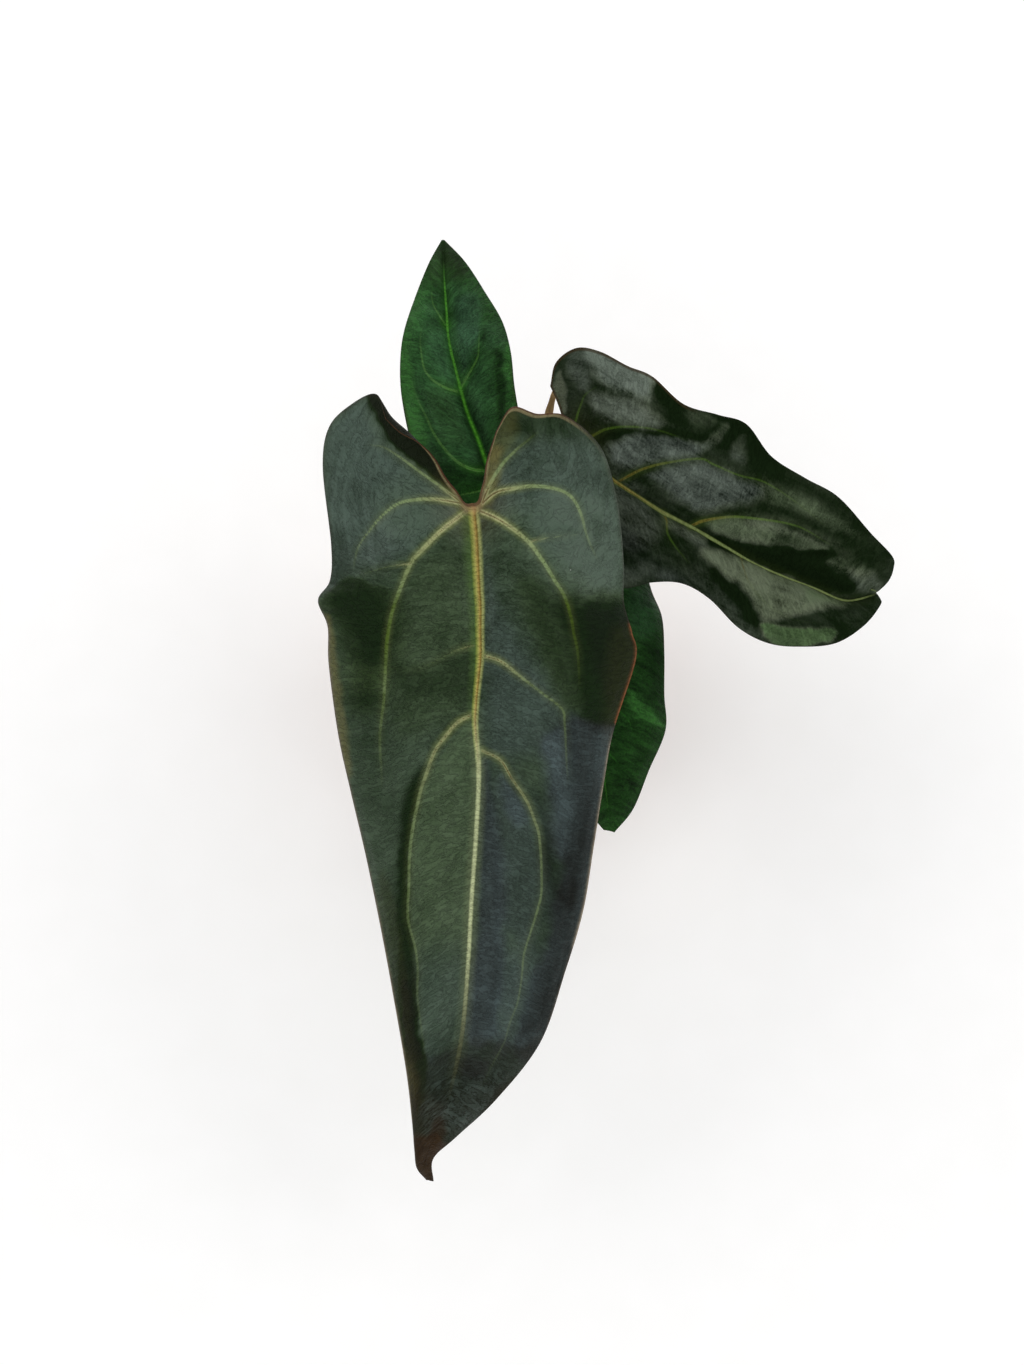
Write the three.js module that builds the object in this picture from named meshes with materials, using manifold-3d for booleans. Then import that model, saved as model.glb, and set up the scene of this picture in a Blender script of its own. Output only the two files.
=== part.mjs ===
// Potted anthurium hybrid: four long heart-shaped leaves on a short stem, in a plain clay pot.
// Millimetres, +Z up. The origin is the middle of the pot's underside, and the big front leaf
// hangs towards -Y.

import * as THREE from 'three';
import { mergeVertices } from 'three/addons/utils/BufferGeometryUtils.js';
import Module from 'manifold-3d';

// Pot
const RIM_D = 120;
const POT_H = 105;
const BASE_D = 86;
const BAND_H = 22;
const BAND_T = 3.5;
const WALL = 5;
const FLOOR_T = 6;
const DRAINS = 4;
const DRAIN_D = 9;
const DRAIN_RING_R = 24;

// Potting mix, filled to SOIL_DROP under the rim, and the gap between pieces that touch
const SOIL_DROP = 11;
const CHUNKS = 30;
const CHUNK_R = 7.5;
const GAP = 0.3;

// Stem and its aerial roots
const STEM_R = 8.5;
const STEM_SUNK = 32;
const STEM_TOP = 122;
const NODE_STEP = 9;
const ROOT_R = 2.1;

// Leaves
const BLADE_T = 0.9;
const STALK_R = 2.1;
const KNEE_R = 2.9;
const KNEE_LENGTH = 13;
const HUSK_T = 0.8;

const SOIL_Z = POT_H - SOIL_DROP;
const wasm = await Module();
wasm.setup();

// The leaves are drawn on a slanted sheet, as an eye above and in front of the plant sees them:
// a runs to the right on the sheet, b up it, and w is how far a point lies behind it.
const SHEET_TILT = THREE.MathUtils.degToRad(60);
const SHEET_MID = new THREE.Vector3(-2, -119, 209);
const EYE_DISTANCE = 796;
const RIGHT = new THREE.Vector3(1, 0, 0);
const UP_SHEET = new THREE.Vector3(0, Math.sin(SHEET_TILT), Math.cos(SHEET_TILT));
const AWAY = new THREE.Vector3(0, Math.cos(SHEET_TILT), -Math.sin(SHEET_TILT));

function place([a, b, w]) {
  const spread = 1 + w / EYE_DISTANCE;
  return SHEET_MID.clone()
    .addScaledVector(RIGHT, a * spread)
    .addScaledVector(UP_SHEET, b * spread)
    .addScaledVector(AWAY, w);
}

// A smooth curve through a list of equal-length number rows, at place s along the list.
function through(rows, s) {
  const last = rows.length - 1;
  const i = Math.min(Math.floor(s), last - 1);
  const t = s - i;
  const before = rows[i - 1] ?? rows[0].map((v, n) => 2 * v - rows[1][n]);
  const after = rows[i + 2] ?? rows[last].map((v, n) => 2 * v - rows[last - 1][n]);
  return rows[i].map((v, n) => {
    const next = rows[i + 1][n];
    const pull = next - before[n];
    const push = 2 * before[n] - 5 * v + 4 * next - after[n];
    const twist = 3 * v - before[n] - 3 * next + after[n];
    return v + 0.5 * (pull * t + push * t * t + twist * t ** 3);
  });
}

function geometryOf(points, triangles) {
  const geometry = new THREE.BufferGeometry().setFromPoints(points);
  geometry.setIndex(triangles.flat());
  return geometry;
}

// A thin solid from a grid of points: the same triangles in front and, BLADE_T behind, in back.
function sheetSolid(grid, thickness) {
  const rows = grid.length;
  const cols = grid[0].length;
  const front = grid.flat();
  const at = (i, j) => i * cols + j;
  const triangles = [];
  for (let i = 0; i < rows - 1; i++) {
    for (let j = 0; j < cols - 1; j++) {
      const [p, q, r, s] = [at(i, j), at(i, j + 1), at(i + 1, j + 1), at(i + 1, j)];
      if (j < (cols - 1) / 2) triangles.push([p, s, q], [q, s, r]);
      else triangles.push([p, s, r], [p, r, q]);
    }
  }
  const skin = geometryOf(front, triangles);
  skin.computeVertexNormals();
  const normals = skin.getAttribute('normal');
  const back = front.map((point, n) => {
    const normal = new THREE.Vector3().fromBufferAttribute(normals, n);
    return point.clone().addScaledVector(normal, -thickness);
  });

  const rim = [];
  for (let j = 0; j < cols - 1; j++) rim.push(at(0, j));
  for (let i = 0; i < rows - 1; i++) rim.push(at(i, cols - 1));
  for (let j = cols - 1; j > 0; j--) rim.push(at(rows - 1, j));
  for (let i = rows - 1; i > 0; i--) rim.push(at(i, 0));

  const behind = front.length;
  const all = [...triangles];
  for (const [p, q, r] of triangles) all.push([p + behind, r + behind, q + behind]);
  rim.forEach((p, n) => {
    const q = rim[(n + 1) % rim.length];
    all.push([p, q, q + behind], [p, q + behind, p + behind]);
  });
  return geometryOf([...front, ...back], all);
}

// A round solid along a curve, its radius given along it from 0 to 1.
function rodSolid(path, radiusAt, sides, steps) {
  const frames = path.computeFrenetFrames(steps, false);
  const points = [];
  const triangles = [];
  for (let i = 0; i <= steps; i++) {
    const centre = path.getPointAt(i / steps);
    const radius = radiusAt(i / steps);
    for (let j = 0; j < sides; j++) {
      const turn = (2 * Math.PI * j) / sides;
      points.push(centre.clone()
        .addScaledVector(frames.normals[i], radius * Math.cos(turn))
        .addScaledVector(frames.binormals[i], radius * Math.sin(turn)));
    }
  }
  for (let i = 0; i < steps; i++) {
    for (let j = 0; j < sides; j++) {
      const k = (j + 1) % sides;
      const [p, q, r, s] = [i * sides + j, i * sides + k, (i + 1) * sides + k, (i + 1) * sides + j];
      triangles.push([p, q, r], [p, r, s]);
    }
  }
  const [start, end] = [points.length, points.length + 1];
  points.push(path.getPointAt(0), path.getPointAt(1));
  for (let j = 0; j < sides; j++) {
    const k = (j + 1) % sides;
    triangles.push([start, k, j], [end, steps * sides + j, steps * sides + k]);
  }
  return geometryOf(points, triangles);
}

function manifoldOf(geometry) {
  const bare = geometry.clone();
  bare.deleteAttribute('normal');
  bare.deleteAttribute('uv');
  const merged = mergeVertices(bare, 1e-4);
  return new wasm.Manifold(new wasm.Mesh({
    numProp: 3,
    vertProperties: new Float32Array(merged.getAttribute('position').array),
    triVerts: new Uint32Array(merged.getIndex().array),
  }));
}

function geometryFrom(manifold) {
  const { vertProperties, triVerts } = manifold.getMesh();
  const geometry = new THREE.BufferGeometry();
  geometry.setAttribute('position', new THREE.BufferAttribute(vertProperties, 3));
  geometry.setIndex(new THREE.BufferAttribute(triVerts, 1));
  return geometry;
}

// Each blade is a list of ribs from the notch at its stalk to its tip. A rib has its place on
// the midrib, on the left margin and on the right margin, each [a, b, w], then how far the left
// and the right half swell towards the eye, and, where it isn't RIB_BOW of the half's width, how
// far each half of the rib bows towards the notch.
const BLADES = {
  front: {
    ribs: [
      [[-16.5, 74, 0], [-53, 110.5, -19], [-5, 105, -12], 5, 3, 1, 0.5],
      [[-16, 73, -1], [-57.5, 121, -16], [1.5, 115, -10], 2, 1, -2.5, 0],
      [[-16, 70.5, -2], [-68, 116.5, -7], [11, 112.5, -3], 1, 1, -1.5, 0],
      [[-15.5, 66, -3], [-77, 107, 1], [22.5, 112, 3], 2, 2, 0, 0],
      [[-15, 60, -5], [-79.5, 90, 8], [37.5, 98.5, 9], 4, 4],
      [[-14.5, 49.5, -7], [-76, 58, 8], [44.5, 74.5, 11], 6, 6],
      [[-14, 39.5, -9], [-76.5, 43, 4], [47, 49.5, 9], 7, 7],
      [[-13.5, 32, -10], [-81.5, 34.5, 0], [47, 34, 6], 8, 8],
      [[-13.5, 22, -11], [-77.5, 23.5, 5], [50.5, 21, 3], 8, 8],
      [[-13.5, 9.5, -12], [-77, 7.5, 8], [52, 9.5, 4], 8, 8],
      [[-15.5, -15, -12], [-73, -22, 7], [42.5, -21, 8], 8, 8],
      [[-14, -37, -12], [-67.5, -47, 8], [38.5, -43, 7], 8, 8],
      [[-15, -62, -10], [-61.5, -72.5, 10], [34.5, -68, 8], 7, 7],
      [[-17, -91.5, -6], [-55, -104, 12], [30, -95.5, 11], 6, 6],
      [[-18.5, -118.5, 0], [-50, -131, 15], [22.5, -121, 14], 5, 5],
      [[-21, -148, 8], [-44.5, -163, 20], [12, -151, 20], 4, 4],
      [[-26, -172, 17], [-42, -184.5, 26], [-6.5, -175, 26], 3, 3],
      [[-31.5, -189, 25], [-41, -197, 31], [-23.5, -191, 31], 1, 1],
      [[-36, -200.5, 34], [-40, -204, 36], [-33, -200, 36], 0, 0],
      [[-34.5, -209.5, 44], [-36, -209, 44], [-33, -209.5, 44], 0, 0],
    ],
    wave: 1.2,
    waves: 4,
  },
  right: {
    ribs: [
      [[22.5, 98.5, 60], [16, 124.5, 66], [14, 85, 68], 2, 2],
      [[23.5, 97.5, 60], [18.5, 134.5, 69], [14.5, 70.5, 72], 3, 3],
      [[27, 95.5, 59], [27, 140.5, 67], [22, 55, 73], 5, 5],
      [[33, 92, 58], [37, 139, 62], [34, 43, 71], 6, 6],
      [[42, 85.5, 59], [48.5, 133, 60], [47, 39.5, 73], 6, 7],
      [[52.5, 78.5, 62], [59, 128.5, 63], [59, 42, 77], 6, 8],
      [[63.5, 71.5, 67], [72, 117, 67], [71.5, 41.5, 81], 6, 7],
      [[76, 65, 74], [86.5, 112.5, 68], [83, 35, 87], 6, 7],
      [[89, 57.5, 82], [98.5, 108.5, 76], [95, 23, 93], 6, 7],
      [[102, 50, 91], [109, 95, 91], [107.5, 16.5, 100], 6, 7],
      [[114.5, 44.5, 101], [123, 86, 102], [121, 15, 108], 6, 6],
      [[127.5, 39.5, 112], [137, 78, 112], [136, 16.5, 118], 5, 5],
      [[140, 34.5, 124], [150.5, 63, 124], [148, 24, 129], 3, 3],
      [[151, 36.5, 136], [160.5, 51.5, 138], [155, 33, 139], 1, 1],
      [[153, 38, 150], [156.5, 44.5, 153], [153.5, 35.5, 152], 0, 0],
      [[151, 39, 165], [151.5, 39.5, 165], [151, 38.5, 165], 0, 0],
    ],
    wave: 2.5,
    waves: 5,
  },
  back: {
    ribs: [
      [[-6.5, 79, 80], [-21.5, 68.5, 84], [1.5, 68.5, 86], 2, 2],
      [[-6.5, 80.5, 80.5], [-29, 72, 87], [6.5, 75, 89], 2, 2],
      [[-7.5, 83.5, 82], [-34.5, 81, 90], [7, 83.5, 92], 3, 3],
      [[-10, 90.5, 84], [-40, 91.5, 92], [5.5, 95.5, 94], 4, 4],
      [[-14.5, 103, 90], [-43.5, 104.5, 95], [3, 112.5, 99], 4, 4],
      [[-19, 114.5, 96], [-46.5, 121, 100], [1, 125, 103], 4, 4],
      [[-23, 129, 104], [-47, 134.5, 106], [-0.5, 139, 110], 4, 4],
      [[-26.5, 144, 112], [-45.5, 147, 113], [-4, 151.5, 119], 4, 4],
      [[-27.5, 156.5, 119], [-41, 161, 122], [-11, 163.5, 127], 3, 3],
      [[-28.5, 171, 129], [-35, 176, 132], [-19.5, 176.5, 135], 1, 1],
      [[-29, 186, 146], [-29.5, 186, 146], [-28.5, 186, 146], 0, 0],
    ],
    wave: 1,
    waves: 3,
  },
  low: {
    ribs: [
      [[32, 58, 94], [18.5, 68, 99], [42, 68, 101], 2, 2],
      [[32, 56, 93.5], [12, 62, 104], [48.5, 65.5, 105], 2, 2],
      [[32, 52.5, 92.5], [7.5, 51.5, 107], [54, 56, 108], 3, 3],
      [[32.5, 45, 91], [6.5, 37, 108], [58.5, 39, 108], 5, 5],
      [[33, 32.5, 90], [7, 22, 107], [63, 27.5, 106], 5, 5],
      [[33, 18, 89], [9, 6.5, 105], [64, 13, 103], 5, 5],
      [[34, 1, 89], [12, -8, 104], [64, -5, 105], 5, 5],
      [[35.5, -16.5, 91], [18, -23.5, 106], [64.5, -20, 106], 5, 5],
      [[38, -34.5, 96], [25.5, -41, 108], [57.5, -37, 107], 4, 4],
      [[40, -50, 103], [33, -55, 110], [51, -53, 110], 2, 2],
      [[41, -62.5, 112], [38.5, -62, 112], [43, -63, 112], 0, 0],
    ],
    wave: 1.5,
    waves: 3,
  },
};

const RIB_BOW = 0.06;

function bowOf(rib, side) {
  const [a, b] = rib[side].map((v, n) => v - rib[0][n]);
  return rib[4 + side] ?? RIB_BOW * Math.hypot(a, b);
}

// The point of a blade at rib number s, and t from -1 on the left margin to 1 on the right one.
function bladePoint({ ribs, wave, waves }, s, t) {
  const side = t < 0 ? 1 : 2;
  const out = Math.abs(t);
  const mid = through(ribs.map((rib) => rib[0]), s);
  const edge = through(ribs.map((rib) => rib[side]), s);
  const [swell, bow] = through(ribs.map((rib) => [rib[2 + side], bowOf(rib, side)]), s);
  const [da, db, dw] = edge.map((v, n) => v - mid[n]);
  const bend = (Math.sign(t) * bow * Math.sin(Math.PI * out)) / Math.hypot(da, db);
  const along = s / (ribs.length - 1);
  const beat = Math.sin(2 * Math.PI * waves * along + Math.sign(t));
  const ripple = wave * out ** 3 * Math.sin(Math.PI * along) * beat;
  return place([
    mid[0] + da * out - db * bend,
    mid[1] + db * out + da * bend,
    mid[2] + dw * out - swell * Math.sin(Math.PI * out) + ripple,
  ]);
}

function blade(name, stepsPerRib, halfCells) {
  const spec = BLADES[name];
  const last = spec.ribs.length - 1;
  const grid = [];
  for (let i = 0; i <= last * stepsPerRib; i++) {
    const row = [];
    for (let j = -halfCells; j <= halfCells; j++) {
      row.push(bladePoint(spec, i / stepsPerRib, j / halfCells));
    }
    grid.push(row);
  }
  return sheetSolid(grid, BLADE_T);
}

// Stem, roots and stalks

const curve = (...points) => new THREE.CatmullRomCurve3(points.map((p) => new THREE.Vector3(...p)));

// The stem, fatter at the ring of each old leaf and rounded off on top. extra grows it outwards.
function stemRod(extra) {
  const foot = SOIL_Z - STEM_SUNK;
  const path = curve([0, 0, foot - extra], [0, 0, SOIL_Z], [1, -0.5, STEM_TOP + extra]);
  const height = STEM_TOP - foot;
  return rodSolid(path, (u) => {
    const ring = Math.cos((2 * Math.PI * u * height) / NODE_STEP);
    const dome = Math.sqrt(1 - Math.max(0, (u - 0.9) / 0.1) ** 2 * 0.75);
    return (STEM_R + 0.5 * ring) * dome + extra;
  }, 10, 15);
}

// Aerial roots: height on the stem, direction in degrees and reach before they go under.
const ROOTS = [
  { z: 99, turn: 20, reach: 31 },
  { z: 98, turn: 80, reach: 24 },
  { z: 99, turn: 140, reach: 34 },
  { z: 97, turn: 205, reach: 27 },
  { z: 99, turn: 265, reach: 33 },
  { z: 98, turn: 325, reach: 26 },
];

function rootRod({ z, turn, reach }, extra) {
  const at = (r, height, swing) => {
    const angle = THREE.MathUtils.degToRad(turn + swing);
    return [r * Math.cos(angle), r * Math.sin(angle), height];
  };
  const path = curve(
    at(2, z, 0),
    at(STEM_R + 3, z + 2, 0),
    at(reach * 0.7, SOIL_Z + 5, 8),
    at(reach, SOIL_Z - 2, 14),
    at(reach + 2 + extra / 2, SOIL_Z - 14 - extra, 16),
  );
  return rodSolid(path, (u) => ROOT_R * (1 - 0.3 * u) + extra, 6, 9);
}

function rootedStem(extra) {
  const rods = [stemRod(extra), ...ROOTS.map((root) => rootRod(root, extra))];
  return wasm.Manifold.union(rods.map(manifoldOf));
}

const stem = rootedStem(0);
const stemRoom = rootedStem(GAP);

// Leaf stalks: path from inside the stem, and how far behind the notch of the blade they end.
const STALKS = {
  front: { path: [[-1, -4, 104], [-3, -13, 126], [-8, -31, 178], [-15, -48, 225]], seat: 1.2 },
  back: { path: [[-1, 3, 112], [-3, 7, 132], [-7, 5, 160]], seat: 1.2 },
  right: { path: [[4, 1, 107], [13, 3, 135], [20, 6, 175]], seat: 1.2 },
  low: { path: [[3, -4, 103], [14, -9, 120], [28, -10, 142]], seat: 1.8 },
};

function stalk(name) {
  const [a, b, w] = BLADES[name].ribs[0][0];
  const top = place([a, b, w + STALKS[name].seat]);
  const path = curve(...STALKS[name].path, top.toArray());
  const length = path.getLength();
  const rod = rodSolid(path, (u) => {
    const toTop = (1 - u) * length;
    const knee = THREE.MathUtils.smoothstep(KNEE_LENGTH * 1.3 - toTop, 0, KNEE_LENGTH * 0.5);
    const sheath = THREE.MathUtils.smoothstep(18 - u * length, 0, 18);
    const tip = THREE.MathUtils.smoothstep(toTop, -3, 3);
    return (STALK_R + (KNEE_R - STALK_R) * knee + 1.3 * sheath) * tip;
  }, 8, Math.round(length / 5));
  return geometryFrom(manifoldOf(rod).subtract(stemRoom));
}

// Dry papery sheaths left by the leaf buds: path from the stem, width, and how far they cup.
const HUSKS = {
  long: { path: [[5.5, 9.5, 107], [9, 25, 143], [15.5, 48, 174], [21, 64, 189]], width: 12 },
  side: { path: [[-10, -4.5, 107], [-14, -7, 121], [-23, -11, 139]], width: 11 },
  rear: { path: [[-7.3, 7.1, 107], [-12, 12.5, 119], [-21, 21, 133]], width: 10 },
};

function husk({ path, width }) {
  const centre = curve(...path);
  const [rows, cols] = [10, 8];
  const grid = [];
  for (let i = 0; i <= rows; i++) {
    const u = i / rows;
    const tangent = centre.getTangentAt(u);
    const across = new THREE.Vector3(-tangent.y, tangent.x, 0).normalize();
    const outwards = new THREE.Vector3().crossVectors(tangent, across).negate();
    const half = (width / 2) * (1 - 0.96 * u ** 1.6);
    const row = [];
    for (let j = 0; j <= cols; j++) {
      const v = (2 * j) / cols - 1;
      const groove = 0.35 * (1 - u) * (j % 2);
      row.push(centre.getPointAt(u)
        .addScaledVector(across, half * v)
        .addScaledVector(outwards, -half * 0.55 * v * v - groove));
    }
    grid.push(row);
  }
  return geometryFrom(manifoldOf(sheetSolid(grid, HUSK_T)).subtract(stemRoom));
}

// Pot and potting mix

const outerR = (z) => BASE_D / 2 + ((RIM_D - BASE_D) / 2 - BAND_T) * (z / POT_H);
const innerR = (z) => outerR(z) - WALL;

function lathe(profile, segments) {
  const points = profile.map(([r, z]) => new THREE.Vector2(r, z));
  return new THREE.LatheGeometry(points, segments).rotateX(Math.PI / 2);
}

function pot() {
  const bandZ = POT_H - BAND_H;
  const body = manifoldOf(lathe([
    [0, 0],
    [BASE_D / 2 - 1.5, 0],
    [outerR(1.5), 1.5],
    [outerR(bandZ), bandZ],
    [outerR(bandZ) + BAND_T - 1, bandZ + 0.5],
    [outerR(bandZ) + BAND_T, bandZ + 2],
    [RIM_D / 2, POT_H - 1.5],
    [RIM_D / 2 - 1.5, POT_H],
    [innerR(POT_H) + 1.5, POT_H],
    [innerR(POT_H - 1.5), POT_H - 1.5],
    [innerR(FLOOR_T + 3), FLOOR_T + 3],
    [innerR(FLOOR_T) - 3, FLOOR_T],
    [0, FLOOR_T],
  ], 40));
  const drains = [];
  for (let n = 0; n < DRAINS; n++) {
    const turn = (2 * Math.PI * (n + 0.5)) / DRAINS;
    const hole = new THREE.CylinderGeometry(DRAIN_D / 2, DRAIN_D / 2, 4 * FLOOR_T, 16);
    hole.rotateX(Math.PI / 2);
    hole.translate(DRAIN_RING_R * Math.cos(turn), DRAIN_RING_R * Math.sin(turn), 0);
    drains.push(manifoldOf(hole));
  }
  return geometryFrom(body.subtract(wasm.Manifold.union(drains)));
}

function seededRandom(seed) {
  let state = seed;
  return () => {
    state = (state * 16807) % 2147483647;
    return state / 2147483647;
  };
}

// Bark chunks lie in a sunflower spiral over the top of the mix.
function pottingMix() {
  const random = seededRandom(7);
  const bed = lathe([
    [0, FLOOR_T + GAP],
    [innerR(FLOOR_T) - 3 - GAP, FLOOR_T + GAP],
    [innerR(FLOOR_T + 3) - GAP, FLOOR_T + 3],
    [innerR(SOIL_Z) - GAP, SOIL_Z - 1],
    [0, SOIL_Z],
  ], 32);
  const solids = [manifoldOf(bed)];
  const reach = innerR(SOIL_Z) - CHUNK_R - 2;
  for (let n = 0; n < CHUNKS; n++) {
    const chunk = new THREE.IcosahedronGeometry(CHUNK_R, 0);
    chunk.scale(0.7 + 0.5 * random(), 0.55 + 0.4 * random(), 0.45 + 0.3 * random());
    chunk.rotateX(0.5 * random());
    chunk.rotateZ(2 * Math.PI * random());
    const r = reach * Math.sqrt((n + 0.5) / CHUNKS);
    const turn = n * Math.PI * (3 - Math.sqrt(5));
    chunk.translate(r * Math.cos(turn), r * Math.sin(turn), SOIL_Z + 1.2 * random());
    solids.push(manifoldOf(chunk));
  }
  return geometryFrom(wasm.Manifold.union(solids).subtract(stemRoom));
}

// The plant

const plant = new THREE.Group();

function add(name, geometry, color, roughness) {
  const material = new THREE.MeshStandardMaterial({ color, roughness, metalness: 0 });
  const mesh = new THREE.Mesh(geometry, material);
  mesh.name = name;
  plant.add(mesh);
}

add('pot', pot(), '#b5714c', 0.85);
add('potting_mix', pottingMix(), '#4a3222', 0.95);
add('stem', geometryFrom(stem), '#6e6a41', 0.7);
add('husk_long', husk(HUSKS.long), '#b79a62', 0.8);
add('husk_side', husk(HUSKS.side), '#a98a58', 0.8);
add('husk_rear', husk(HUSKS.rear), '#a98a58', 0.8);
for (const name of ['front', 'back', 'right', 'low']) {
  add(`petiole_${name}`, stalk(name), '#7c6a3a', 0.6);
}
add('blade_front', blade('front', 2, 5), '#3c4e3b', 0.45);
add('blade_back', blade('back', 2, 4), '#35592b', 0.4);
add('blade_right', blade('right', 2, 5), '#26331f', 0.35);
add('blade_low', blade('low', 2, 4), '#1d3f18', 0.4);

export default plant;
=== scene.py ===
# %% [markdown]
# # A potted anthurium, from leaf to pot
# The plant has four long heart-shaped leaves on thin stalks, a short ringed stem with aerial
# roots, dry papery sheaths, and a clay pot of bark mix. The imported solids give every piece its
# size and place. This script rebuilds each one as a finer mesh over the same form and gives it
# a finish made of shader nodes.

# %% Load the frame
import math

import bmesh
import bpy
import numpy as np
from mathutils import Matrix, Vector, noise


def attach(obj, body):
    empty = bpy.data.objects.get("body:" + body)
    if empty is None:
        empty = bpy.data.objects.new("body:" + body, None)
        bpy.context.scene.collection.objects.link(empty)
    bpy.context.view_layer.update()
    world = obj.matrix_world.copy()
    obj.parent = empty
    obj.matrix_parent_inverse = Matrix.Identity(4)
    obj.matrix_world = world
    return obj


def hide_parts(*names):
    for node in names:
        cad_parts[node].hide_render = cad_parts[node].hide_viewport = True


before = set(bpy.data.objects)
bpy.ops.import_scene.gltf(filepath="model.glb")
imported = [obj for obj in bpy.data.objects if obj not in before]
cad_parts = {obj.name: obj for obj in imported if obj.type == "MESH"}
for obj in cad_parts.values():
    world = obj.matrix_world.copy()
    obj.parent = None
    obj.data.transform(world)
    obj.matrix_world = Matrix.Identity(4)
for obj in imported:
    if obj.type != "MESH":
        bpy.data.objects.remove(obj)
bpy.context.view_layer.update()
MM = 0.001
print("solids:", sorted(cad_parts))

# %% [markdown]
# ## A slanted sheet for the leaves
# A leaf blade is a curved skin, and its outline is what the eye knows it by. It could be
# sculpted freely in space, but then the outline would be hard to steer. Here each blade is
# drawn on a flat sheet that faces an eye above and in front of the plant, in millimetres, and
# every point is then pushed back along its own line of sight. The outline holds whatever depth
# the point gets.

# %% The sheet
SHEET_TILT = math.radians(60)
SHEET_MID = np.array([-2, -119, 209.0])
EYE_DISTANCE = 796
RIGHT = np.array([1, 0, 0])
UP_SHEET = np.array([0, math.sin(SHEET_TILT), math.cos(SHEET_TILT)])
AWAY = np.array([0, math.cos(SHEET_TILT), -math.sin(SHEET_TILT)])


def place(abw):
    """Sheet points (right, up, behind) in millimetres, as points in the frame in metres."""
    a, b, w = np.moveaxis(np.asarray(abw, float), -1, 0)[..., None]
    spread = 1 + w / EYE_DISTANCE
    return (SHEET_MID + a * spread * RIGHT + b * spread * UP_SHEET + w * AWAY) * MM


def through(rows, s):
    """A smooth curve through rows of numbers, at the places s along the list."""
    rows = np.asarray(rows, float)
    s = np.asarray(s, float)
    padded = np.vstack([2 * rows[0] - rows[1], rows, 2 * rows[-1] - rows[-2]])
    i = np.clip(s.astype(int), 0, len(rows) - 2)
    t = (s - i)[:, None]
    p, q, r, n = (padded[i + k] for k in range(4))
    pull, push, twist = r - p, 2 * p - 5 * q + 4 * r - n, 3 * q - p - 3 * r + n
    return q + 0.5 * (pull * t + push * t**2 + twist * t**3)


def ease(x, low, high):
    """0 where x is low, 1 where it is high, and a smooth change between."""
    u = np.clip((np.asarray(x, float) - low) / (high - low), 0, 1)
    return u * u * (3 - 2 * u)


print("sheet middle, in metres:", place([0, 0, 0]).round(3))

# %% [markdown]
# ## The ribs and veins of each blade
# A rib runs from the left margin over the midrib to the right margin. Each list entry has the
# rib's place on the midrib, on the left margin and on the right margin, as (a, b, w), then how
# far each half swells towards the eye, and for some ribs how far each half bows towards the
# notch. The front blade's notch list says how far, in millimetres, its left and right edges
# curl off a straight line, from the bottom of the notch out to the ends of the lobes. The veins
# are lines on the same sheet, each with its width and how strongly it shows.

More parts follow.
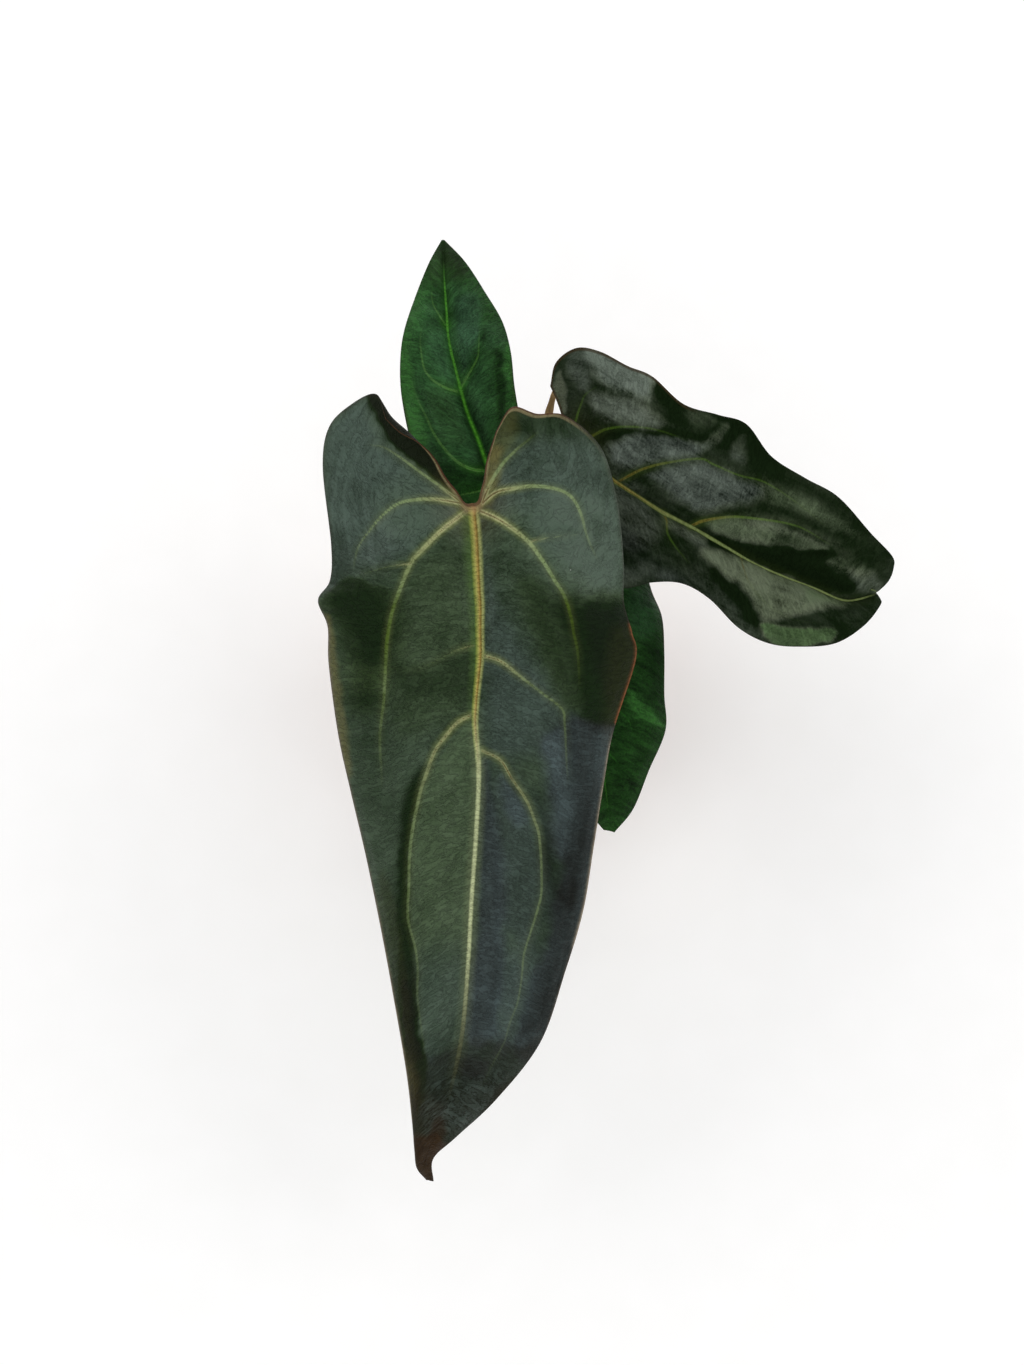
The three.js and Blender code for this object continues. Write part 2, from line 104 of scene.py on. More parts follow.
# %% The front blade
FRONT = {
    "ribs": [
        [(-17, 75.5, 0), (-53, 110.5, -19), (-5, 105, -12), 5, 3, 1, 0.5],
        [(-16, 73, -1), (-57.5, 121, -16), (1.5, 115, -10), 2, 1, -2.5, 0],
        [(-16, 70.5, -2), (-68, 116.5, -7), (11, 112.5, -3), 1, 1, -1.5, 0],
        [(-15.5, 66, -3), (-77, 107, 1), (22.5, 112, 3), 2, 2, 0, 0],
        [(-15, 60, -5), (-79.5, 90, 8), (37.5, 98.5, 9), 4, 4],
        [(-14.5, 49.5, -7), (-76, 58, 8), (44.5, 74.5, 11), 6, 6],
        [(-14, 39.5, -9), (-76.5, 43, 4), (47, 49.5, 9), 7, 7],
        [(-13.5, 32, -10), (-81.5, 34.5, 0), (47, 34, 6), 8, 8],
        [(-13.5, 22, -11), (-77.5, 23.5, 5), (50.5, 21, 3), 8, 8],
        [(-13.5, 9.5, -12), (-77, 7.5, 8), (52, 9.5, 4), 8, 8],
        [(-15.5, -15, -12), (-73, -22, 7), (42.5, -21, 8), 8, 8],
        [(-14, -37, -12), (-67.5, -47, 8), (38.5, -43, 7), 8, 8],
        [(-15, -62, -10), (-61.5, -72.5, 10), (34.5, -68, 8), 7, 7],
        [(-17, -91.5, -6), (-55, -104, 12), (30, -95.5, 11), 6, 6],
        [(-18.5, -118.5, 0), (-50, -131, 15), (22.5, -121, 14), 5, 5],
        [(-21, -148, 8), (-44.5, -163, 20), (12, -151, 20), 4, 4],
        [(-26, -172, 17), (-42, -184.5, 26), (-6.5, -175, 26), 3, 3],
        [(-31.5, -189, 25), (-41, -197, 31), (-23.5, -191, 31), 1, 1],
        [(-36, -200.5, 34), (-40, -204, 36), (-33, -200, 36), 0, 0],
        [(-34.5, -209.5, 44), (-36, -209, 44), (-33, -209.5, 44), 0, 0],
    ],
    # Painted sheen and its blue tint over the whole blade, then brown and pale, before the patches.
    "sheen_base": (0.48, 0.2, 0, 0),
    "notch": [
        (0, 0), (-0.7, -0.8), (-1.4, -1.6), (-1.65, -2), (-1.5, -2.1), (-1.25, -2.1),
        (-1.2, -2), (-0.5, -1.8), (1, -1), (1.7, -0.1), (1.3, 0.4), (-0.4, 0.95), (0, 1.5),
    ],
    "wave": 1.2,
    "waves": 4,
    "veins": [
        [1.6, 0.85, (-18.5, 73.5), (-30.5, 82.5), (-40, 89.5), (-48.5, 95.5), (-54.5, 99),
         (-62, 100)],
        [1.8, 1, (-19.5, 75), (-33, 77), (-42.5, 76.5), (-49, 74.5), (-55, 69.5), (-60, 63.5),
         (-64.5, 57), (-67, 46)],
        [2.1, 1, (-18.5, 72.5), (-29.5, 64), (-38, 55.5), (-42, 51), (-46, 42), (-50.5, 29),
         (-52.5, 18), (-53, 8), (-54, -8.5), (-55.5, -23.5), (-54.5, -45)],
        [1.7, 0.55, (-16.5, -13.5), (-22.5, -16.5), (-27.5, -22), (-32.5, -29), (-36, -38.5),
         (-39, -48), (-42.5, -67.5), (-43.5, -89), (-43.5, -100), (-40.5, -112),
         (-39.5, -121.5), (-39.5, -134), (-36, -160)],
        [0.9, 0.3, (-14.5, 16), (-23.5, 13.5), (-31, 9.5), (-40.5, 5.5), (-51, 5)],
        [0.8, 0.4, (-42.5, 50), (-52.5, 48.5), (-66, 44.5)],
        [1.9, 0.9, (-12.5, 76), (-8.5, 84.5), (-4.5, 91), (0.5, 96.5), (7, 102), (11.5, 105.5)],
        [2, 1, (-12.5, 75.5), (-6.5, 80), (0.5, 81.5), (7.5, 82.5), (15, 82), (22, 80),
         (26.5, 76), (29.5, 69), (31.5, 61.5), (36, 51)],
        [2.1, 1, (-14.5, 72.5), (-6.5, 69), (0.5, 64.5), (7.5, 58.5), (13, 51), (18, 43),
         (22, 36.5), (25, 26.5), (26, 20.5), (27.5, 12.5), (28.5, -3)],
        [0.8, 0.35, (8.5, 59.5), (17, 61), (30.5, 62.5)],
        [1.6, 0.6, (-13, 11.5), (-5, 9), (3.5, 2.5), (12, -4), (21, -11), (22, -16.5),
         (22.5, -24), (23.5, -42.5)],
        [1.4, 0.42, (-13, -28.5), (-5, -32.5), (0, -40.5), (6, -49.5), (9.5, -58), (11.5, -65.5),
         (12.5, -86.5), (10.5, -96), (8, -104.5), (5, -114.5), (4, -124), (2.5, -134),
         (-1, -143), (-3.5, -151.5), (-8, -160), (-13.5, -172)],
    ],
}
print("front blade:", len(FRONT["ribs"]), "ribs,", len(FRONT["veins"]), "side veins")

# %% The dark blade at the right
DARK = {
    "ribs": [
        [(22.5, 98.5, 60), (16, 124.5, 66), (14, 85, 68), 2, 2],
        [(23.5, 97.5, 60), (18.5, 134.5, 69), (14.5, 70.5, 72), 3, 3],
        [(27, 95.5, 59), (27, 140.5, 67), (22, 55, 73), 5, 5],
        [(33, 92, 58), (37, 139, 62), (34, 43, 71), 6, 6],
        [(42, 85.5, 59), (48.5, 133, 60), (47, 39.5, 73), 6, 7],
        [(52.5, 78.5, 62), (59, 128.5, 63), (59, 42, 77), 6, 8],
        [(63.5, 71.5, 67), (72, 117, 67), (71.5, 41.5, 81), 6, 7],
        [(76, 65, 74), (86.5, 112.5, 68), (83, 35, 87), 6, 7],
        [(89, 57.5, 82), (98.5, 108.5, 76), (95, 23, 93), 6, 7],
        [(102, 50, 91), (109, 95, 91), (107.5, 16.5, 100), 6, 7],
        [(114.5, 44.5, 101), (123, 86, 102), (121, 15, 108), 6, 6],
        [(127.5, 39.5, 112), (137, 78, 112), (136, 16.5, 118), 5, 5],
        [(140, 34.5, 124), (150.5, 63, 124), (148, 24, 129), 3, 3],
        [(151, 36.5, 136), (160.5, 51.5, 138), (155, 33, 139), 1, 1],
        [(153, 38, 150), (156.5, 44.5, 153), (153.5, 35.5, 152), 0, 0],
        [(151, 39, 165), (151.5, 39.5, 165), (151, 38.5, 165), 0, 0],
    ],
    # Painted sheen and its blue tint over the whole blade, then brown and pale, before the patches.
    "sheen_base": (0.05, 0.2, 0, 0),
    "wave": 2.5,
    "waves": 5,
    "veins": [
        [1.3, 0.6, (24, 97.5), (25, 103.5), (26.5, 109.5), (29, 117), (31, 121), (36.5, 125)],
        [1.4, 0.6, (25, 97), (29.5, 101), (34.5, 104), (40, 106.5), (48.5, 107.5), (59, 106.5),
         (67.5, 104), (75, 101)],
        [1.3, 0.6, (42, 85.5), (44, 84), (49.5, 87), (54.5, 89.5), (63.5, 92), (78.5, 94),
         (85, 91.5), (95.5, 87), (106.5, 84), (121, 74.5), (133.5, 64)],
        [1.2, 0.45, (63.5, 71.5), (65, 68.5), (65.5, 62.5), (69.5, 56), (75.5, 49)],
        [1.4, 0.8, (75, 65.5), (80.5, 68), (92.5, 69.5), (105, 68.5), (117, 66.5), (124.5, 63.5),
         (135.5, 56.5)],
        [1, 0.15, (37.5, 88), (39.5, 76.5), (41, 64), (47.5, 51), (54, 49)],
        [1.2, 0.1, (96, 53.5), (99, 43), (106.5, 33.5), (117, 27), (129.5, 24.5)],
        [1.3, 0.2, (24, 95.5), (20, 85), (18.5, 74.5), (20, 64)],
        [1.3, 0.2, (27, 94.5), (27.5, 81), (30.5, 68), (35.5, 56.5)],
    ],
}
print("dark blade:", len(DARK["ribs"]), "ribs,", len(DARK["veins"]), "side veins")

# %% The two smaller blades
BACK = {
    "ribs": [
        [(-6.5, 79, 80), (-21.5, 68.5, 84), (1.5, 68.5, 86), 2, 2],
        [(-6.5, 80.5, 80.5), (-29, 72, 87), (6.5, 75, 89), 2, 2],
        [(-7.5, 83.5, 82), (-34.5, 81, 90), (7, 83.5, 92), 3, 3],
        [(-10, 90.5, 84), (-40, 91.5, 92), (5.5, 95.5, 94), 4, 4],
        [(-14.5, 103, 90), (-43.5, 104.5, 95), (3, 112.5, 99), 4, 4],
        [(-19, 114.5, 96), (-46.5, 121, 100), (1, 125, 103), 4, 4],
        [(-23, 129, 104), (-47, 134.5, 106), (-0.5, 139, 110), 4, 4],
        [(-26.5, 144, 112), (-45.5, 147, 113), (-4, 151.5, 119), 4, 4],
        [(-27.5, 156.5, 119), (-41, 161, 122), (-11, 163.5, 127), 3, 3],
        [(-28.5, 171, 129), (-35, 176, 132), (-19.5, 176.5, 135), 1, 1],
        [(-29, 186, 146), (-29.5, 186, 146), (-28.5, 186, 146), 0, 0],
    ],
    # Painted sheen and its blue tint over the whole blade, then brown and pale, before the patches.
    "sheen_base": (0.5, 0, 0, 0),
    "wave": 1,
    "waves": 3,
    "veins": [
        [1.2, 0.7, (-23, 122.5), (-27, 123.5), (-32.5, 126.5), (-36.5, 131), (-38, 137.5),
         (-38.5, 145), (-37, 151.5)],
        [1.2, 0.7, (-22, 123.5), (-18, 130), (-14.5, 136.5), (-14, 142), (-13.5, 150)],
        [1.5, 0.7, (-11, 89), (-16.5, 89.5), (-22, 92), (-27, 96.5), (-32.5, 104), (-36, 111.5),
         (-39.5, 118.5), (-42.5, 127)],
        [1.3, 0.7, (-9, 87.5), (-5, 92.5), (-1.5, 100), (-0.5, 108), (-1.5, 116.5)],
        [1.1, 0.7, (-8.5, 81.5), (-15.5, 80), (-22.5, 78.5), (-28, 76.5)],
        [1, 0.7, (-6.5, 81), (-2, 79), (1.5, 76)],
        [0.8, 0.7, (-27.5, 150), (-31, 155), (-33.5, 160.5), (-33.5, 167)],
    ],
}
LOW = {
    "ribs": [
        [(32, 58, 94), (18.5, 68, 99), (42, 68, 101), 2, 2],
        [(32, 56, 93.5), (12, 62, 104), (48.5, 65.5, 105), 2, 2],
        [(32, 52.5, 92.5), (7.5, 51.5, 107), (54, 56, 108), 3, 3],
        [(32.5, 45, 91), (6.5, 37, 108), (58.5, 39, 108), 5, 5],
        [(33, 32.5, 90), (7, 22, 107), (63, 27.5, 106), 5, 5],
        [(33, 18, 89), (9, 6.5, 105), (64, 13, 103), 5, 5],
        [(34, 1, 89), (12, -8, 104), (64, -5, 105), 5, 5],
        [(35.5, -16.5, 91), (18, -23.5, 106), (64.5, -20, 106), 5, 5],
        [(38, -34.5, 96), (25.5, -41, 108), (57.5, -37, 107), 4, 4],
        [(40, -50, 103), (33, -55, 110), (51, -53, 110), 2, 2],
        [(41, -62.5, 112), (38.5, -62, 112), (43, -63, 112), 0, 0],
    ],
    # Painted sheen and its blue tint over the whole blade, then brown and pale, before the patches.
    "sheen_base": (0.28, 0, 0, 0),
    "wave": 1.5,
    "waves": 3,
    "veins": [
        [1.1, 0.6, (32.5, 18), (38, 26), (45.5, 34.5), (50.5, 41)],
        [1.2, 0.6, (33.5, -3), (39.5, -7.5), (45, -12), (49, -16), (51.5, -23.5)],
        [1, 0.6, (33, 34.5), (39.5, 41), (46, 45)],
        [1.2, 0.6, (34, -3), (27.5, -7.5), (22.5, -13), (20, -22)],
        [1.1, 0.6, (32.5, 18), (25.5, 24), (18.5, 30.5), (14, 39)],
        [1, 0.6, (37, -27.5), (42, -31), (46, -36)],
        [1, 0.6, (37, -27.5), (33, -31.5), (30, -37)],
        [1.1, 0.6, (32, 56.5), (37, 58), (43.5, 58)],
        [1.1, 0.6, (32, 56.5), (25, 58), (19, 56.5)],
    ],
}
print("small blades:", len(BACK["ribs"]), "and", len(LOW["ribs"]), "ribs")

# %% [markdown]
# ## From ribs to a skin
# The skin is a grid: rows follow the ribs from notch to tip, and columns run from margin to
# margin. Numpy works out the whole grid at once. The finer the grid, the smoother the edge and
# the veins, so the upper side gets cells of about a millimetre.

# %% The blade as a grid of sheet points
RIB_BOW = 0.06


def bow_of(rib, side):
    width = math.hypot(rib[side][0] - rib[0][0], rib[side][1] - rib[0][1])
    return rib[4 + side] if len(rib) > 5 else RIB_BOW * width


def blade_grid(blade, s, t):
    """Sheet points for rib numbers s (rows) and t from -1, the left margin, to 1 (columns)."""
    ribs = blade["ribs"]
    mid = through([rib[0] for rib in ribs], s)[:, None]
    along = (s / (len(ribs) - 1))[:, None]
    notch = np.array(blade.get("notch", [(0, 0), (0, 0)]))
    halves = []
    for side, sign in ((1, -1), (2, 1)):
        out = np.abs(t[t < 0] if side == 1 else t[t >= 0])[None, :, None]
        edge = through([rib[side] for rib in ribs], s)[:, None]
        swell, bow = through([[rib[2 + side], bow_of(rib, side)] for rib in ribs], s).T[..., None]
        step = edge - mid
        arch = np.sin(np.pi * out[..., 0])
        curl = through(notch, np.sqrt(out[0, :, 0]) * (len(notch) - 1))[:, side - 1]
        curl = curl * ease(s, 3, 1)[:, None]
        bend = sign * (bow * arch + curl) / np.hypot(step[..., 0], step[..., 1])
        beat = np.sin(2 * np.pi * blade["waves"] * along + sign)
        ripple = blade["wave"] * out[..., 0] ** 3 * np.sin(np.pi * along) * beat
        half = mid + step * out
        half[..., 0] -= step[..., 1] * bend
        half[..., 1] += step[..., 0] * bend
        half[..., 2] += ripple - swell * arch
        halves.append(half)
    return np.concatenate(halves, axis=1)


corner = blade_grid(FRONT, np.array([0.0, 1.0]), np.array([-1.0, 0.0, 1.0]))
print("front notch and lobe ends:", corner[0].round(1).tolist())

# %% [markdown]
# ## How far each point is from a vein
# The veins need a colour and a relief that follow drawn lines. A texture could carry them,
# but then it would have to be painted. Measuring each mesh point's distance to the nearest vein
# and keeping it on the mesh as an attribute does the same with numbers alone, and both the
# relief and the shader read it.

# %% Distances to lines


def distance_to(a, b, line):
    """Distance from points (a, b) to a line, and how far along it their nearest point is."""
    ends = np.asarray(line, float)
    lengths = np.hypot(*np.diff(ends, axis=0).T)
    start = np.concatenate([[0], np.cumsum(lengths)])
    near, share = np.full(a.shape, np.inf), np.zeros(a.shape)
    for p, q, length, done in zip(ends, ends[1:], lengths, start):
        right, up = q - p
        u = np.clip(((a - p[0]) * right + (b - p[1]) * up) / length**2, 0, 1)
        gap = np.hypot(a - p[0] - u * right, b - p[1] - u * up)
        closer = gap < near
        near[closer] = gap[closer]
        share[closer] = (done + u[closer] * length) / start[-1]
    return near, share


def vein_field(blade, a, b):
    """How far the nearest side vein is, in its half-widths and in millimetres, how strongly it
    shows, and how far along it the point is."""
    widths, near = np.full(a.shape, 99.0), np.full(a.shape, 99.0)
    strength, run = np.zeros(a.shape), np.ones(a.shape)
    for width, tone, *points in blade["veins"]:
        line = through(points, np.linspace(0, len(points) - 1, 5 * len(points)))
        gap, share = distance_to(a, b, line)
        half = 0.5 * width * (1 - 0.5 * share)
        closer = gap / half < widths
        widths[closer], near[closer] = (gap / half)[closer], gap[closer]
        strength[closer] = (tone * np.clip((1 - share) / 0.5, 0, 1))[closer]
        run[closer] = share[closer]
    return widths, near, strength, run


test = distance_to(np.zeros(1), np.ones(1), [(-1, 0), (1, 0)])
print("one vein test:", [v.round(2) for v in test])

# %% [markdown]
# ## Painted sheen and shade
# The satin sheen of a leaf is painted into its colour: a grey-green or bluish painted sheen in
# some panels and hardly any in others, and painted shade in panels turned from the light.
# Painting it would need a picture. Here each area is an outline of a few points on the sheet
# with a soft or sharp border, and it adds to four numbers on the mesh: how strong the painted
# sheen is, how blue its painted sky reflection is, how brown the skin has turned, and how pale
# its margin is. Below zero, the light number paints shade that darkens the skin, the blue number
# makes the painted sheen greener, and the pale number gives a rust-coloured margin.

# %% Patches: painted light, blue, brown, pale, then outlines, each led by its softness in mm
# In every blade's patches the first number paints sheen above zero and shade below it; the second
# tints the painted sheen blue as a painted sky reflection, or green below zero.
FRONT["patches"] = [
    [-0.5, -0.9, 0, 0, [1.2, (-89, 22), (-81.5, 33), (-76.5, 38), (-67, 44.5), (-59, 41),
     (-47, 39), (-13.5, 39), (-13.5, -41), (-89, -41)], [9, (-80, 34.5), (-68, 44), (-52, 39.5),
     (-48.5, 18), (-55.5, -7.5), (-65.5, -7.5), (-69.5, 18)]],
    [-0.5, -0.9, 0, 0, [4.5, (20, 34.5), (33, 33), (50.5, 31.5), (56, 9.5), (48.5, -16.5),
     (29.5, -14), (25, 13.5)]],
    [-0.28, -0.5, 0, 0, [5, (3.5, 43), (14.5, 39.5), (22.5, 25.5), (25.5, -7.5), (20, -5.5),
     (12, 16), (5.5, 32.5)]],
    [0.1, 0.4, 0, 0, [6, (-12, 45), (-5, 34.5), (7.5, 13.5), (21, -9.5), (21, -26), (-5, -32.5),
     (-12, -24)]],
    [0.24, 0.35, 0, 0, [5, (-80, 89), (-75.5, 110), (-60.5, 118.5), (-53.5, 100), (-24, 79),
     (-18.5, 74.5), (-47, 51.5), (-67, 46.5), (-77.5, 39)]],
    [0.18, 0.3, 0, 0, [6, (-12.5, 74.5), (-5, 93.5), (3.5, 102), (30.5, 105), (43.5, 81),
     (46, 39.5), (20, 47), (3.5, 68)]],
    [-0.28, -0.1, 0, 0, [4, (-4, 118), (14, 118), (37, 102), (22.5, 101), (7.5, 102), (-1.5, 105)]],
    # Painted shade: the upturned inner strip of the left lobe, turned away from the light, painted
    # near black.
    [-1.04, 0, 0.01, 0, [1.6, (-61.5, 122), (-56.5, 127), (-49.5, 120.5), (-39.5, 107.5),
     (-27.5, 93.5), (-20, 81), (-21.5, 76), (-27.5, 81.5), (-33, 86), (-39.5, 91.5), (-45.5, 96),
     (-50.5, 100), (-54, 106), (-57.5, 113)]],
    # Painted light: the upturned inner strip of the right lobe, which faces the light, painted
    # paler, with some tan.
    [0.12, -0.3, 0.36, 0, [2.2, (-13.5, 76), (-12, 89), (-10, 97.5), (-5, 98.5), (-5.5, 87),
     (-9, 76.5)]],
    [-0.12, -0.5, 0.14, 0, [3, (-11.5, 95.5), (-6.5, 110), (1, 115.5), (1, 103.5), (-4, 94.5)]],
    [0.26, -0.3, 0, 0, [1.3, (-16, -15), (-26, -25), (-35.5, -41), (-41.5, -62), (-43.5, -91.5),
     (-40.5, -112.5), (-39.5, -133.5), (-38.5, -155), (-23, -152.5), (-19.5, -133.5),
     (-16.5, -91.5), (-14, -49.5), (-13.5, -24)]],
    [-0.48, 0, 0, 0, [1.8, (-36.5, -36), (-40.5, -55.5), (-42.5, -72.5), (-42.5, -97.5),
     (-40.5, -112.5), (-39.5, -133.5), (-38, -155), (-43.5, -157), (-46, -127), (-47.5, -97.5),
     (-47.5, -74.5), (-46, -53.5), (-41.5, -39)]],
    [-0.16, 0, 0, 0, [3.5, (-46, -70.5), (-47, -83), (-46, -112.5), (-43.5, -150), (-48.5, -142),
     (-53, -104), (-53, -83)]],
    [-0.08, 0.75, 0, 0, [4, (-12.5, -34.5), (-8.5, -43), (-4, -74.5), (-4, -112.5), (-9, -147),
     (-18.5, -147), (-15.5, -112.5), (-14, -74.5)]],
    [0.24, 0.3, 0, 0, [2.5, (-6.5, -39), (-1.5, -41), (6, -55.5), (1.5, -60.5), (-5, -49.5)]],
    [0.16, -0.3, 0, 0, [3, (-3.5, -102), (8, -114.5), (6.5, -129), (1.5, -147), (-2.5, -148.5),
     (-7.5, -139.5), (-5, -116.5)]],
    [-0.24, 0.4, 0, 0, [3.5, (9.5, -45), (16, -60), (19, -83), (20, -93.5), (14, -102), (12, -83),
     (12, -62)]],
    [0.22, 0.8, 0, 0, [4, (13, -26), (21, -23.5), (24, -49.5), (22.5, -70.5), (18, -71),
     (15, -49.5)]],
    [-0.18, 0.9, 0, 0, [5, (19.5, -93.5), (22.5, -70.5), (24.5, -41), (22.5, -16.5), (49.5, -14),
     (39, -91.5), (28.5, -129), (16, -152), (3.5, -154.5), (9.5, -129), (14, -112.5)]],
    [-0.18, 0, 0, 0, [3, (15, -32.5), (14, -58), (14, -79), (20, -93.5), (26.5, -91.5),
     (23.5, -66), (18.5, -49.5)]],
    [-0.1, 0.2, 0, 0, [5, (24.5, -49.5), (33.5, -45), (33, -83), (24.5, -116.5), (17, -108),
     (20, -83)]],
    [-0.16, 0, 0.02, 0, [2.2, (-51, -159.5), (-38, -156), (-36, -160), (-25, -151),
     (-18.5, -148.5), (-5, -150), (3.5, -153), (16, -148.5), (28.5, -175.5), (-22, -221.5),
     (-49, -221.5)]],
    [-0.4, -0.2, 0, 0, [1.8, (-47.5, -127), (-42, -127), (-39.5, -146), (-36, -162),
     (-37, -170.5), (-40.5, -180.5), (-44, -158.5)]],
    [-0.08, 0.2, 0, 0, [2.5, (-24, -160), (-16, -156.5), (-9, -161), (-14.5, -166), (-22, -164.5)]],
    [0.16, 0, 0, 0, [3, (-25, -172), (-12.5, -168.5), (-8.5, -175.5), (-17.5, -186),
     (-27.5, -189), (-30, -180.5)]],
    [0.08, -0.2, 0.3, 0, [1.6, (-79, 23), (-75.5, 25.5), (-71, -7.5), (-67, -34.5), (-70, -37),
     (-77.5, -7.5)]],
    [0.04, -0.3, 0, 0, [8, (-47, 43), (-19.5, 51.5), (-17, -7.5), (-30, -16), (-49, -16)]],
    # The tip: browner in its own colour, with painted shade where it bends down away from the
    # light.
    [-0.24, -0.4, 0.9, 0, [3.5, (-43, -193), (-30, -193), (-28, -202.5), (-30, -213), (-47, -213)]],
    [-0.24, 0, 0.2, 0, [1.5, (-32, -183), (-28.5, -184.5), (-27.5, -189.5), (-33, -195.5),
     (-35.5, -193)]],
    [0.16, 0.3, 0, 1, [4, (37, -13.5), (43.5, -22), (39.5, -49.5), (35.5, -91.5), (28.5, -108),
     (24.5, -104), (33, -58), (35, -24)]],
    [0, 0, 0, 0.5, [5, (-81.5, 18), (-72, 18), (-47, -112.5), (-38.5, -175.5), (-47, -175.5),
     (-55.5, -112.5), (-76.5, -16)]],
    [0, 0, 0.04, -0.5, [4, (42, 22), (56, 18), (54, -7.5), (42, -26), (38.5, -16)]],
    [-0.08, 0, 0.1, -0.3, [3, (-25, 81.5), (-17.5, 83.5), (-10, 81), (-11, 71.5), (-17.5, 66.5),
     (-24, 71.5)]],
    [-0.32, 0, 0, 0, [4, (-83, 68), (-71.5, 64), (-67, 51.5), (-70, 43), (-78.5, 38), (-83, 51.5)]],
    [0.24, -0.1, 0, 0, [3, (-70.5, 8), (-55.5, 6), (-53, -4), (-68, -5.5)]],
    [-0.28, 0, 0, 0, [3.5, (-48.5, 8), (-34.5, 6), (-25, 11), (-16, 13), (-16, -3), (-30, -6),
     (-45.5, -4)]],
    [0.24, -0.15, 0, 0, [6, (-57, 74.5), (-40.5, 90), (-22.5, 78.5), (-17.5, 71.5), (-27.5, 63),
     (-48.5, 60)]],
    [0.45, -0.1, 0, 0, [6, (-3, 71.5), (14, 78.5), (36, 78.5), (43.5, 60), (46, 37), (33.5, 37),
     (22.5, 41.5), (14, 49), (1.5, 58)]],
    [-0.24, -0.2, 0, 0, [3, (30.5, 34.5), (54, 34.5), (56, 13.5), (47.5, -7.5), (37, -3)]],
    [0.04, 0.45, 0, 0, [5, (-5, -37.5), (6.5, -49.5), (12, -70.5), (12, -91.5), (7.5, -129),
     (0, -150), (-6.5, -150), (-4.5, -91.5)]],
    [0.08, 0.3, 0, 0.3, [2, (14, -137.5), (26.5, -116.5), (36, -83), (39.5, -83), (30.5, -121),
     (17, -146)]],
    [-0.12, 0, 0.04, 0.2, [2, (-56.5, -91.5), (-48.5, -91.5), (-37, -192), (-47, -192)]],
    [-0.08, 0, 0, 0.2, [1.5, (30.5, -49.5), (41, -49.5), (33, -100), (24.5, -133.5), (20, -129)]],
    [-0.1, 0, 0, 0, [1.5, (27.5, 81), (33, 76.5), (37, 64), (39.5, 51.5), (37, 50.5), (33.5, 63),
     (29.5, 73.5)]],
    [-0.08, 0.1, 0, 0, [5, (-36.5, -108), (-19.5, -108), (-23.5, -152), (-37, -154.5)]],
    [-0.11, 0, 0, 0, [7, (-72, -3), (-56.5, -3), (-50.5, -32.5), (-52, -49.5), (-64, -49.5)]],
    [-0.11, 0, 0, 0, [4, (10, -104), (18.5, -104), (19.5, -123), (11, -137.5), (6.5, -129)]],
    [-0.08, 0, 0, 0, [6, (33, 64), (44.5, 64), (46, 38), (33.5, 39)]],
    [0.16, 0, 0, 0, [5, (-38.5, -32.5), (-30, -26), (-16, -20), (-16, -49.5), (-34.5, -53.5)]],
    [0, 0.4, 0, 0, [12, (-47, -116.5), (20, -116.5), (24.5, -137.5), (-5, -184), (-30, -196.5),
     (-40.5, -192), (-45, -158.5)]],
    [-0.12, 0.1, 0, 0, [4, (-45, -152), (-17.5, -152), (12, -154.5), (3.5, -175.5), (-22, -196.5),
     (-38.5, -196.5)]],
    [0.12, 0, 0, 0, [8, (-76.5, 118.5), (-59.5, 121), (-26, 89), (-21, 74.5), (-47, 60),
     (-72, 60), (-78.5, 89)]],
    [-0.32, 0, 0.08, 0, [2.5, (-22, -196.5), (-5, -171), (3.5, -167), (-5, -184), (-26, -202.5),
     (-33.5, -211), (-34.5, -196.5)]],
    [0.24, 0, 0.12, 0, [3, (-38.5, -175.5), (-27.5, -178.5), (-30, -193), (-38, -194)]],
    [-0.04, 0, 0, 0, [3, (-30, -155), (-17.5, -150), (3.5, -153.5), (-4, -166), (-22, -166)]],
    [-0.1, 0, 0.045, 0, [5, (-42, -167), (-30, -172), (-13.5, -169.5), (-1, -169.5),
     (-17.5, -192), (-34.5, -196.5), (-42, -188)]],
    [-0.24, 0, 0.1, 0, [2.5, (-48.5, -158.5), (-39.5, -165), (-40.5, -196.5), (-45.5, -196.5)]],
    [-0.2, 0, 0, 0, [3, (14, -133.5), (26.5, -116.5), (33, -100), (37, -104), (24.5, -137.5),
     (15, -150)]],
]
